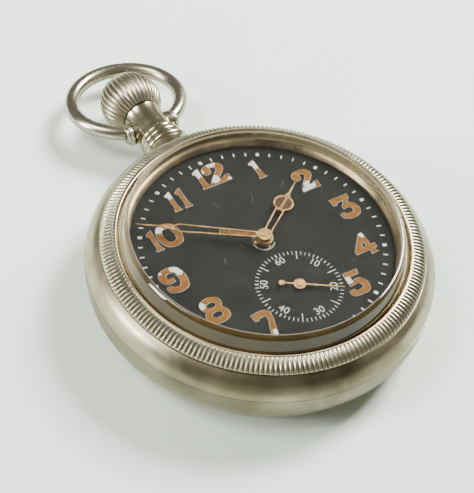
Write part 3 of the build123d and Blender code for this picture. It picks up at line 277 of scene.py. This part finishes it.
def dial_paint():
    """Matte black paint, faintly mottled, with a few specks, hair scratches and a worn ring at the centre."""
    s = Shade("dial_black")
    tone = s.mix(s.ramp(s.noise(0.14, 5, 0.6), 0.35, 0.7), (0.0036, 0.0038, 0.0034), (0.0082, 0.0085, 0.0076))
    speck = s.ramp(s.cells(1.15), 0.03, 0.075, 1.0, 0.0)
    dust = s.math("MULTIPLY", speck, s.ramp(s.noise(0.7, 2), 0.56, 0.66))
    tone = s.mix(s.math("MULTIPLY", dust, 0.35), tone, (0.25, 0.26, 0.24))
    line = s.ramp(s.noise(1.3, 4, 0.6, 0.0, s.stretch(1.0, 0.16, 1.0, -22)), 0.66, 0.74)
    rubbed = s.largest([s.near(x, y, DIAL_TOP, radius, soft) for x, y, radius, soft in RUBBED])
    tone = s.mix(s.math("MULTIPLY", s.math("MULTIPLY", line, rubbed), 0.6), tone, (0.20, 0.205, 0.17))
    marks = s.largest([s.scratch(*each) for each in SCRATCHES])
    tone = s.mix(s.math("MULTIPLY", marks, 0.5), tone, (0.13, 0.13, 0.11))
    worn, kept = s.near(0, 0, DIAL_TOP, 1.62, 0.14), s.near(0, 0, DIAL_TOP, 1.44, 0.10)
    ring = s.math("SUBTRACT", worn, kept, clamp=True)
    ring = s.math("MULTIPLY", ring, s.ramp(s.noise(0.9, 3), 0.36, 0.56))
    tone = s.mix(s.math("MULTIPLY", ring, 0.75), tone, (0.42, 0.43, 0.38))
    s.set(Base_Color=tone, Roughness=s.ramp(s.noise(0.3, 4), 0.3, 0.7, 0.74, 0.86), Specular_IOR_Level=0.08,
          Normal=s.bump(s.noise(1.2, 2, 0.5), 0.04, 0.02))
    return s.mat


def white_print():
    """The dial's white print, greyed in places."""
    s = Shade("white_print")
    tone = s.mix(s.ramp(s.noise(2.4, 4, 0.65), 0.42, 0.72), (0.52, 0.53, 0.49), (0.26, 0.265, 0.24))
    s.set(Base_Color=tone, Roughness=0.7, Specular_IOR_Level=0.15, Normal=s.bump(s.noise(6, 3), 0.2, 0.01))
    return s.mat


# places where the luminous paint has flaked off and left the white ground: x, y, radius
BARE = ((-1.7, 16.3, 1.25), (1.2, 17.1, 0.85), (0.2, 14.0, 0.9), (2.4, 13.1, 0.45), (7.2, 13.8, 0.95),
        (12.6, 6.3, 1.0), (11.5, 5.6, 0.6), (13.6, -5.8, 0.6), (6.7, -12.0, 0.75), (-7.4, -14.6, 0.6),
        (-14.3, -6.0, 0.7), (-14.2, 1.6, 0.75), (-13.8, 0.7, 0.6), (-12.6, 9.0, 0.85), (-8.0, 14.3, 0.9),
        (3.0, 17.3, 0.35), (-16.4, 1.7, 0.3))


def lume(name="lume_aged", bare=True, tones=((0.205, 0.080, 0.011), (0.105, 0.041, 0.006))):
    """Aged luminous paint, orange brown and grainy.

    If bare, it has flaked off down to the white ground at the places in BARE. If not, it is darker in patches.
    """
    s = Shade(name)
    tone = s.mix(s.ramp(s.noise(0.9, 5, 0.65), 0.34, 0.68), tones[0], tones[1])
    tone = s.mix(s.ramp(s.noise(3.6, 4, 0.7), 0.56, 0.78), tone, scaled(tones[0], 1.6))
    if bare:
        flaked = s.largest([s.near(x, y, DIAL_TOP, r * 0.62, r * 0.55) for x, y, r in BARE])
        ragged = s.math("ADD", flaked, s.ramp(s.noise(2.3, 5, 0.7), 0.3, 0.7, -0.4, 0.4))
        tone = s.mix(s.ramp(ragged, 0.40, 0.62), tone, (0.50, 0.50, 0.46))
    else:
        tone = s.mix(s.ramp(s.noise(1.6, 5, 0.7), 0.44, 0.58), tone, (0.055, 0.028, 0.014))
    s.set(Base_Color=tone, Roughness=0.85, Specular_IOR_Level=0.12,
          Normal=s.bump(s.noise(3.2, 5, 0.7), 0.35, 0.05))
    return s.mat


def copper():
    """The hands' gilt, gone coppery and mottled with darker patches."""
    s = Shade("hand_copper")
    tone = s.mix(s.ramp(s.noise(0.8, 5, 0.65), 0.36, 0.66), (0.27, 0.165, 0.058), (0.12, 0.066, 0.022))
    s.set(Base_Color=tone, Roughness=s.ramp(s.noise(1.4, 4), 0.3, 0.7, 0.34, 0.58), Metallic=0.85,
          Normal=s.bump(s.noise(2.6, 5, 0.7), 0.3, 0.04))
    return s.mat


def plain_metal(name, a, b, rough):
    """Movement metal: two tones and a fine grain."""
    s = Shade(name)
    s.set(Base_Color=s.mix(s.ramp(s.noise(0.35, 4), 0.35, 0.7), a, b), Metallic=1.0,
          Roughness=s.ramp(s.noise(0.9, 4), 0.3, 0.7, rough - 0.06, rough + 0.1),
          Normal=s.bump(s.noise(2.0, 4, 0.6), 0.18, 0.02))
    return s.mat


def ruby():
    """Synthetic ruby of the jewels."""
    s = Shade("jewel_ruby")
    s.set(Base_Color=s.mix(s.ramp(s.noise(2.0, 3), 0.4, 0.7), (0.55, 0.01, 0.05), (0.72, 0.03, 0.10)),
          Roughness=0.08, Transmission_Weight=0.35, IOR=1.76)
    return s.mat


NICKEL, STAIN = (0.37, 0.33, 0.225), (0.245, 0.20, 0.12)
# the case's darkened places: x, y, z, radius, softness, strength, and how dark against the stain.
# The first, broad one on the front flank is partly tarnish and partly painted shade, for the shaded floor that
# flank reflects; the others are stains.
FRONT_STAINS_AND_SHADE = ((-8.0, -25.0, 7.0, 9.0, 15.0, 0.5, 0.5), (-21.0, -13.4, 9.4, 1.6, 3.6, 0.6, 0.30),
               (-15.0, -19.6, 9.8, 2.2, 3.6, 0.35, 0.30), (-5.0, -24.2, 9.6, 2.4, 4.2, 0.65, 0.24))
look = {
    "case_metal": aged_metal("case_metal", NICKEL, STAIN, dark=FRONT_STAINS_AND_SHADE),
    "bow_metal": aged_metal("bow_metal", (0.40, 0.37, 0.30), STAIN, (0.18, 0.30), 0.35, 0.05, 0.45),
    "crown_metal": aged_metal("crown_metal", (0.34, 0.30, 0.215), STAIN, (0.22, 0.36), 0.3, 0.0, 0.45),
    "crystal_glass": glass(),
    "dial_black": dial_paint(),
    "hand_copper": copper(),
    "plate_gilt": plain_metal("plate_gilt", (0.66, 0.50, 0.27), (0.56, 0.42, 0.22), 0.36),
    "wheel_brass": plain_metal("wheel_brass", (0.72, 0.53, 0.25), (0.62, 0.44, 0.2), 0.22),
    "steel_polished": plain_metal("steel_polished", (0.52, 0.52, 0.53), (0.42, 0.42, 0.43), 0.2),
    "steel_blue": plain_metal("steel_blue", (0.05, 0.09, 0.32), (0.03, 0.06, 0.22), 0.24),
    "jewel_ruby": ruby(),
    "balance_gilt": plain_metal("balance_gilt", (0.72, 0.55, 0.28), (0.60, 0.44, 0.2), 0.24),
}
neck_metal = aged_metal("neck_metal", NICKEL, STAIN, (0.15, 0.25), 0.3, 0.05, 0.4)
rim_metal = aged_metal("rim_metal", (0.34, 0.315, 0.225), (0.22, 0.19, 0.115), (0.24, 0.38), 0.4, 0.05, 0.5,
                       inner=(0.25, 0.19, 0.11))
print_white, figure_lume, hand_lume = white_print(), lume(), lume("hand_lume", False)
ring_lume = lume("ring_lume", False, ((0.062, 0.024, 0.012), (0.030, 0.012, 0.008)))

slot_of = {p["node"]: p["material_slot"] for p in frame["record"]["subparts"]}
for name, node in nodes.items():
    node.data.materials.clear()
    node.data.materials.append(neck_metal if name == "pendant" else look[slot_of[name]])


# ------------------------------------------------------------------ mesh helpers
def piece(name, mesh, body, material):
    """Puts a mesh in the scene, riding on a body."""
    ob = bpy.data.objects.new(name, mesh)
    bpy.context.scene.collection.objects.link(ob)
    mesh.materials.clear()
    mesh.materials.append(material)
    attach(ob, body)
    return ob


def smooth(mesh, degrees=35):
    """Shades a mesh smooth, except across edges sharper than this."""
    mesh.polygons.foreach_set("use_smooth", [True] * len(mesh.polygons))
    mesh.set_sharp_from_angle(angle=math.radians(degrees))
    return mesh


def curve_mesh(name, splines, height, lift, offset=0.0, bevel=0.012):
    """A slab between closed outlines, whose points are (x, y, corner), with its foot at lift, as a mesh."""
    cu = bpy.data.curves.new(name, "CURVE")
    cu.dimensions, cu.fill_mode, cu.resolution_u = "2D", "BOTH", 8
    cu.extrude, cu.offset = height / 2 - bevel, offset
    cu.bevel_depth, cu.bevel_resolution = bevel, 1
    for pts in splines:
        sp = cu.splines.new("BEZIER")
        sp.bezier_points.add(len(pts) - 1)
        sp.use_cyclic_u = True
        for bp, (x, y, corner) in zip(sp.bezier_points, pts):
            bp.co = (x, y, 0)
            bp.handle_left_type = bp.handle_right_type = "VECTOR" if corner else "AUTO"
    return baked(name, cu, lift + height / 2)


def baked(name, cu, lift):
    """A curve or text made into a mesh in metres, at that height in millimetres."""
    ob = bpy.data.objects.new(name + "_curve", cu)
    bpy.context.scene.collection.objects.link(ob)
    dg = bpy.context.evaluated_depsgraph_get()
    mesh = bpy.data.meshes.new_from_object(ob.evaluated_get(dg), depsgraph=dg)
    bpy.data.objects.remove(ob)
    mesh.transform(Matrix.Translation((0, 0, lift)))
    mesh.transform(Matrix.Scale(MM, 4))
    return mesh


def finished(name, bm):
    """A mesh from a bmesh, which is freed."""
    mesh = bpy.data.meshes.new(name)
    bm.to_mesh(mesh)
    bm.free()
    return mesh


def walled(bm, a, b):
    """Quads between two closed rows of as many points."""
    for k in range(len(a)):
        q = (k + 1) % len(a)
        bm.faces.new((a[k], a[q], b[q], b[k]))


def joined(name, meshes):
    """Several meshes as one."""
    bm = bmesh.new()
    for m in meshes:
        bm.from_mesh(m)
        bpy.data.meshes.remove(m)
    bmesh.ops.remove_doubles(bm, verts=bm.verts, dist=1e-8)
    return finished(name, bm)


# ------------------------------------------------------------------ bezel with milled edge
RIDGES = 222
STEPS = 8                       # points round each ridge
GROOVE = 0.20                   # depth of the milling
INWARD, DOWNWARD = 0.62, 0.85   # the way it is cut


def milled_bezel():
    """The screw bezel: plain rolled lip, milled outer band, and the seat that holds the glass."""
    # each profile is (radius, height)
    inner = [(21.68, 11.72), (21.68, 10.2), (19.44, 10.2), (19.44, 10.32), (20.1, 11.0), (21.32, 11.0),
             (21.32, 12.16)]
    lip = [(21.35, 12.27), (21.42, 12.35), (21.53, 12.39), (21.64, 12.39), (21.73, 12.36)]
    foot = [(23.82, 11.12), (23.70, 11.0), (22.78, 11.0), (22.78, 11.72)]
    # the band has a third number: where the cutter runs in, its full depth, and where it runs out
    band = [(21.79, 12.32, 0.0), (21.86, 12.34, 0.3), (22.0, 12.34, 0.75), (22.24, 12.31, 1.0),
            (22.72, 12.18, 1.0), (23.0, 12.06, 1.0), (23.27, 11.91, 1.0), (23.5, 11.73, 1.0),
            (23.68, 11.52, 0.95), (23.79, 11.33, 0.7), (23.84, 11.2, 0.25)]
    prof = [(r, z, 0.0) for r, z in inner + lip] + band + [(r, z, 0.0) for r, z in foot]
    n = RIDGES * STEPS
    bm = bmesh.new()
    rows = []
    for r, z, cut in prof:
        row = []
        for k in range(n):
            a = 2 * math.pi * k / n
            phase = (k % STEPS) / STEPS
            # rounded crest, narrower groove
            groove = (0.5 + 0.5 * math.cos(2 * math.pi * phase)) ** 2.0
            d = GROOVE * cut * groove
            reach = r - INWARD * d
            row.append(bm.verts.new((reach * math.cos(a) * MM, reach * math.sin(a) * MM,
                                     (z - DOWNWARD * d) * MM)))
        rows.append(row)
    for i, row in enumerate(rows):
        walled(bm, row, rows[(i + 1) % len(rows)])
    bmesh.ops.recalc_face_normals(bm, faces=bm.faces)
    return smooth(finished("bezel_milled", bm), 50)


bezel = piece("bezel_milled", milled_bezel(), "bezel", rim_metal)
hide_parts("front_bezel")


# ------------------------------------------------------------------ dial printing
PRINT = 0.025                   # thickness of the white print
# a painted mark's outline: how far along it, and how far across in widths
MARK = ((0, -0.5), (0.06, -0.5), (0.94, -0.5), (1, -0.4), (1, 0.4), (0.94, 0.5), (0.06, 0.5), (0, 0.4))


def ticks(name, centre, marks):
    """Painted marks: (angle clockwise from 12, inner radius, outer radius, width)."""
    bm = bmesh.new()
    for angle, r0, r1, width in marks:
        a = math.radians(90 - angle)
        along, across = Vector((math.cos(a), math.sin(a), 0)), Vector((-math.sin(a), math.cos(a), 0))
        base = Vector((centre[0], centre[1], DIAL_TOP))
        ring = [base + along * (r0 + (r1 - r0) * u) + across * (width * v) for u, v in MARK]
        low = [bm.verts.new(p * MM) for p in ring]
        top = [bm.verts.new((p + Vector((0, 0, PRINT))) * MM) for p in ring]
        bm.faces.new(list(reversed(low)))
        bm.faces.new(top)
        walled(bm, low, top)
    bmesh.ops.recalc_face_normals(bm, faces=bm.faces)
    return finished(name, bm)


TRACK_R = 18.0                  # middle of the minute track
track = []
for k in range(60):
    width, half = (0.50, 0.32) if k % 5 == 0 else (0.21, 0.34)
    track.append((6 * k, TRACK_R - half, TRACK_R + half, width))
piece("minute_track", ticks("minute_track", (0, 0), track), "case", print_white)

SMALL_TRACK_R = 6.35            # outer end of the small seconds' marks
small = []
for k in range(60):
    if k % 10 == 5:
        small.append((6 * k, 4.95, SMALL_TRACK_R, 0.13))
    else:
        small.append((6 * k, 5.8, SMALL_TRACK_R, 0.17 if k % 10 == 0 else 0.10))
piece("seconds_track", ticks("seconds_track", SMALL_SECONDS, small), "case", print_white)


def figure(text, x, y, turn):
    """Small printed figures, centred on a place and turned anticlockwise."""
    cu = bpy.data.curves.new("figure", "FONT")
    cu.body, cu.size, cu.align_x, cu.align_y = text, 1.6, "CENTER", "CENTER"
    half_height = 0.012
    cu.extrude, cu.offset, cu.resolution_u = half_height, -0.008, 6
    mesh = baked("figure", cu, half_height)
    there = Matrix.Translation((x * MM, y * MM, DIAL_TOP * MM))
    mesh.transform(there @ Matrix.Rotation(math.radians(turn), 4, "Z"))
    return mesh


FIGURES_R = 5.0                 # how far out the small figures stand
# each figure, its angle clockwise from 12, and its own turn
PLACES = (("60", 0, 0), ("10", 60, -60), ("20", 120, 60), ("30", 180, 0), ("40", 240, -60), ("50", 300, 60))
small_figures = []
for text, at, turn in PLACES:
    small_figures.append(figure(text, SMALL_SECONDS[0] + FIGURES_R * math.sin(math.radians(at)),
                                SMALL_SECONDS[1] + FIGURES_R * math.cos(math.radians(at)), turn))
piece("seconds_figures", joined("seconds_figures", small_figures), "case", print_white)

# Large figures. The width and height of each one's box come first, then its outlines, of which the later ones
# are holes. A point is (x, y, corner) in that box: corner 1 is sharp and 0 is round.
GLYPHS = {
    "1": (1.35, 4.2, [
        [(0, 0, 1), (1.35, 0, 1), (1.32, 0.32, 1), (1.16, 0.62, 0), (1.13, 2.2, 0), (1.25, 4.2, 1),
         (0.92, 4.08, 0), (0.02, 3.62, 1), (0.06, 3.22, 1), (0.34, 3.18, 1), (0.33, 2.0, 0),
         (0.22, 0.62, 0), (0.04, 0.32, 1)],
    ]),
    "2": (3.4, 4.3, [
        [(0.04, 3.05, 0), (0.22, 3.78, 0), (0.85, 4.22, 0), (1.8, 4.3, 0), (2.85, 4.12, 0),
         (3.36, 3.45, 0), (3.26, 2.72, 0), (2.7, 2.02, 0), (1.95, 1.32, 0), (1.72, 0.98, 1),
         (2.45, 0.98, 1), (2.62, 1.22, 1), (3.36, 1.25, 1), (3.28, 0, 1), (0, 0, 1), (0.08, 0.42, 0),
         (0.45, 1.0, 0), (1.3, 1.95, 0), (2.05, 2.75, 0), (2.18, 3.12, 0), (1.95, 3.46, 0),
         (1.55, 3.46, 0), (1.34, 3.24, 0), (1.36, 2.88, 0), (1.1, 2.52, 0), (0.6, 2.42, 0),
         (0.18, 2.62, 0)],
    ]),
    "3": (3.3, 4.4, [
        [(0, 4.38, 1), (3.3, 4.38, 1), (3.24, 3.72, 1), (2.3, 2.72, 1), (2.85, 2.62, 0),
         (3.28, 2.15, 0), (3.28, 0.65, 0), (2.8, 0.04, 0), (0.5, 0.02, 0), (0, 0.5, 0), (0, 1.28, 1),
         (0.86, 1.28, 1), (0.96, 0.98, 0), (1.28, 0.88, 0), (2.0, 0.88, 0), (2.28, 1.12, 0),
         (2.28, 1.6, 0), (2.0, 1.86, 0), (1.08, 1.86, 1), (1.08, 2.34, 1), (1.98, 3.42, 1),
         (0.78, 3.42, 1), (0.62, 3.04, 0), (0.04, 3.04, 1)],
    ]),
    "4": (3.8, 4.1, [
        [(2.6, 4.1, 1), (3.2, 4.1, 1), (3.12, 1.6, 1), (3.78, 1.6, 1), (3.72, 0.8, 1), (3.16, 0.8, 1),
         (3.2, 0.4, 1), (3.42, 0, 1), (2.15, 0, 1), (2.33, 0.4, 1), (2.33, 0.8, 1), (0.02, 0.8, 1),
         (0.06, 1.38, 1)],
        [(2.32, 2.62, 1), (2.32, 1.6, 1), (1.52, 1.6, 1)],
    ]),
    "5": (3.4, 4.3, [
        [(0.92, 4.3, 1), (3.4, 4.22, 1), (3.08, 3.38, 1), (1.62, 3.38, 1), (1.5, 2.66, 1),
         (2.5, 2.74, 0), (3.28, 2.2, 0), (3.34, 0.8, 0), (2.75, 0.08, 0), (1.6, 0, 0), (0.5, 0.08, 0),
         (0, 0.55, 0), (0.06, 1.24, 1), (0.96, 1.26, 1), (1.04, 0.98, 0), (1.6, 0.86, 0),
         (2.2, 1.0, 0), (2.4, 1.4, 0), (2.2, 1.84, 0), (1.6, 1.96, 0), (1.14, 1.86, 1), (0.6, 1.9, 1)],
    ]),
    "7": (2.8, 4.5, [
        [(0.04, 4.45, 1), (2.3, 4.38, 0), (2.8, 3.95, 0), (2.74, 3.1, 0), (2.22, 1.45, 0), (1.8, 0, 1),
         (0.75, 0, 1), (1.35, 1.6, 0), (1.88, 2.9, 0), (1.86, 3.5, 1), (0.78, 3.46, 1),
         (0.66, 3.18, 0), (0.08, 3.22, 1)],
    ]),
    "8": (3.4, 4.1, [
        [(0.08, 3.45, 0), (0.55, 4.06, 0), (2.8, 4.06, 0), (3.28, 3.45, 0), (3.22, 2.6, 0),
         (2.98, 2.18, 0), (3.38, 1.6, 0), (3.38, 0.6, 0), (2.9, 0.04, 0), (0.5, 0.04, 0),
         (0.02, 0.6, 0), (0.02, 1.6, 0), (0.36, 2.18, 0), (0.12, 2.65, 0)],
        [(1.04, 2.72, 0), (1.04, 3.2, 0), (1.28, 3.34, 0), (2.1, 3.34, 0), (2.32, 3.15, 0),
         (2.32, 2.75, 0), (2.1, 2.58, 0), (1.28, 2.58, 0)],
        [(0.96, 0.98, 0), (0.96, 1.42, 0), (1.2, 1.62, 0), (2.18, 1.62, 0), (2.42, 1.42, 0),
         (2.42, 0.98, 0), (2.18, 0.8, 0), (1.2, 0.8, 0)],
    ]),
    "9": (3.4, 4.2, [
        [(0.55, 4.16, 0), (2.85, 4.16, 0), (3.36, 3.65, 0), (3.36, 0.6, 0), (2.8, 0.03, 0),
         (0.7, 0.03, 0), (0.12, 0.5, 0), (0.12, 1.28, 1), (0.94, 1.3, 1), (1.06, 0.98, 0),
         (2.08, 0.94, 0), (2.32, 1.2, 0), (2.32, 3.1, 0), (2.08, 3.32, 0), (1.28, 3.32, 0),
         (1.04, 3.12, 0), (1.04, 2.68, 0), (1.28, 2.48, 0), (1.8, 2.48, 1), (1.86, 1.76, 1),
         (0.6, 1.72, 0), (0.04, 2.25, 0), (0.04, 3.65, 0)],
    ]),
    "0": (3.2, 4.1, [
        [(0.02, 3.4, 0), (0.55, 4.06, 0), (2.65, 4.06, 0), (3.18, 3.4, 0), (3.18, 0.66, 0),
         (2.65, 0.04, 0), (0.55, 0.04, 0), (0.02, 0.66, 0)],
        [(0.86, 1.15, 0), (0.86, 2.95, 0), (1.08, 3.24, 0), (2.05, 3.24, 0), (2.26, 2.95, 0),
         (2.26, 1.15, 0), (2.05, 0.86, 0), (1.08, 0.86, 0)],
    ]),
}
# where they stand on the dial: figure, left, bottom, width, height
ON_DIAL = (("1", -2.4, 12.9, 1.4, 4.3), ("2", -0.9, 12.9, 3.7, 4.3), ("1", 6.5, 10.9, 1.3, 4.1),
           ("2", 10.9, 5.4, 3.4, 4.3), ("3", 13.3, -2.2, 3.3, 4.4), ("4", 10.7, -9.5, 3.8, 4.1),
           ("5", 5.7, -14.9, 3.4, 4.3), ("7", -9.1, -15.0, 2.8, 4.5), ("8", -14.6, -9.4, 3.4, 4.1),
           ("9", -16.9, -2.2, 3.4, 4.2), ("1", -14.7, 5.4, 1.2, 4.1), ("0", -13.2, 5.4, 3.2, 4.1),
           ("1", -8.5, 10.9, 1.2, 4.1), ("1", -6.7, 10.9, 1.2, 4.1))


def large_figures():
    """The outlines of all the large figures, at their places on the dial."""
    out = []
    for g, x0, y0, w, h in ON_DIAL:
        gw, gh, loops = GLYPHS[g]
        out += [[(x0 + x * w / gw, y0 + y * h / gh, c) for x, y, c in loop] for loop in loops]
    return out


# the paint is thicker than the white ground, and pulled in from its outline
ground = curve_mesh("figures_ground", large_figures(), 0.05, DIAL_TOP)
piece("figures_ground", ground, "case", print_white)
paint = curve_mesh("figures_lume", large_figures(), 0.13, DIAL_TOP, -0.085, 0.035)
piece("figures_lume", smooth(paint), "case", figure_lume)


def hand_paint(name, outlines, foot, at, body, material):
    """Luminous paint held in a hand, drawn with the hand at 12 and turned to where it points."""
    mesh = curve_mesh(name, outlines, HAND_PAINT, foot, 0, HAND_PAINT_BEVEL)
    mesh.transform(Matrix.Rotation(math.radians(-at), 4, "Z"))
    piece(name, smooth(mesh), body, material)


# what is left of the paint in the hour hand's ring, either side of its bar
RING_Y, PAINT_R = 7.75, 1.24
round_part = [(PAINT_R * math.cos(math.radians(t)), RING_Y + PAINT_R * math.sin(math.radians(t)))
              for t in range(-76, 77, 19)]
lobe = [(x, y, 0) for x, y in round_part] + [(0.22, 8.95, 1), (0.22, 6.55, 1)]
lobes = [lobe, [(-x, y, c) for x, y, c in reversed(lobe)]]
hand_paint("hour_lume", lobes, HOUR_HAND_Z, HOUR_AT, "hour", ring_lume)

# and in the inner half of the minute hand
strip = [(-0.20, 1.45, 1), (-0.24, 3.6, 0), (-0.27, 6.2, 1), (0.27, 6.2, 1), (0.24, 3.6, 0), (0.20, 1.45, 1)]
hand_paint("minute_lume", [strip], MINUTE_HAND_Z, MINUTE_AT, "center", hand_lume)


# ------------------------------------------------------------------ floor, light and camera
def floor():
    """A plain pale floor, faintly grained."""
    half = 0.9  # metres
    corners = [(-half, -half, 0), (half, -half, 0), (half, half, 0), (-half, half, 0)]
    mesh = bpy.data.meshes.new("floor")
    mesh.from_pydata(corners, [], [(0, 1, 2, 3)])
    ob = bpy.data.objects.new("floor", mesh)
    bpy.context.scene.collection.objects.link(ob)
    s = Shade("floor_white")
    tone = s.mix(s.ramp(s.noise(0.02, 3), 0.3, 0.7), (0.69, 0.79, 0.69), (0.665, 0.765, 0.665))
    s.set(Base_Color=tone, Roughness=0.9, Normal=s.bump(s.noise(0.35, 5, 0.6), 0.35, 0.35))
    mesh.materials.append(s.mat)


def studio():
    """A dim warm room, lightest a little above the horizon."""
    world = bpy.data.worlds.new("studio")
    bpy.context.scene.world = world
    world.use_nodes = True
    nt = world.node_tree
    coord = nt.nodes.new("ShaderNodeTexCoord")
    split = nt.nodes.new("ShaderNodeSeparateXYZ")
    fade = nt.nodes.new("ShaderNodeValToRGB")
    nt.links.new(coord.outputs["Generated"], split.inputs[0])
    nt.links.new(split.outputs["Z"], fade.inputs[0])
    nt.links.new(fade.outputs[0], nt.nodes["Background"].inputs[0])
    level, top = fade.color_ramp.elements
    level.position, level.color = 0.0, (0.21, 0.195, 0.15, 1)
    top.position, top.color = 1.0, (0.27, 0.27, 0.245, 1)
    fade.color_ramp.elements.new(0.35).color = (0.31, 0.295, 0.245, 1)


def softbox(name, at, aim, size, watts, tint=(1, 1, 1)):
    """A soft lamp, its place, aim and size in metres."""
    light = bpy.data.lights.new(name, "AREA")
    light.shape, light.energy, light.color = "RECTANGLE", watts, tint
    light.size, light.size_y = size
    ob = bpy.data.objects.new(name, light)
    ob.location = at
    ob.rotation_euler = (Vector(aim) - Vector(at)).to_track_quat("-Z", "Y").to_euler()
    bpy.context.scene.collection.objects.link(ob)


floor()
studio()
softbox("key", (0.52, 0.14, 0.495), (0, 0, 0), (0.26, 0.26), 18.5, (1.0, 0.995, 0.975))
softbox("fill", (-0.36, 0.18, 0.60), (0, 0, 0), (0.28, 0.28), 4.9, (0.985, 1.0, 0.99))
softbox("left", (-0.575, 0.20, 0.235), (0, 0, 0.005), (0.15, 0.18), 5.4)

# the camera's axes, as seen: to the right, up, and back towards the eye
RIGHT = (0.8425, -0.5313, 0.0885)
UP = (0.3545, 0.6705, 0.6517)
BEHIND = (-0.4056, -0.5177, 0.7533)
EYE = (-67.38, -79.93, 128.26)
cam = bpy.data.cameras.new("camera")
cam.sensor_width, cam.lens, cam.clip_start = 36, 78.69, 0.01
camera = bpy.data.objects.new("camera", cam)
place = Matrix((RIGHT, UP, BEHIND)).transposed().to_4x4()
place.translation = Vector(EYE) * MM
camera.matrix_world = place
bpy.context.scene.collection.objects.link(camera)
bpy.context.scene.camera = camera
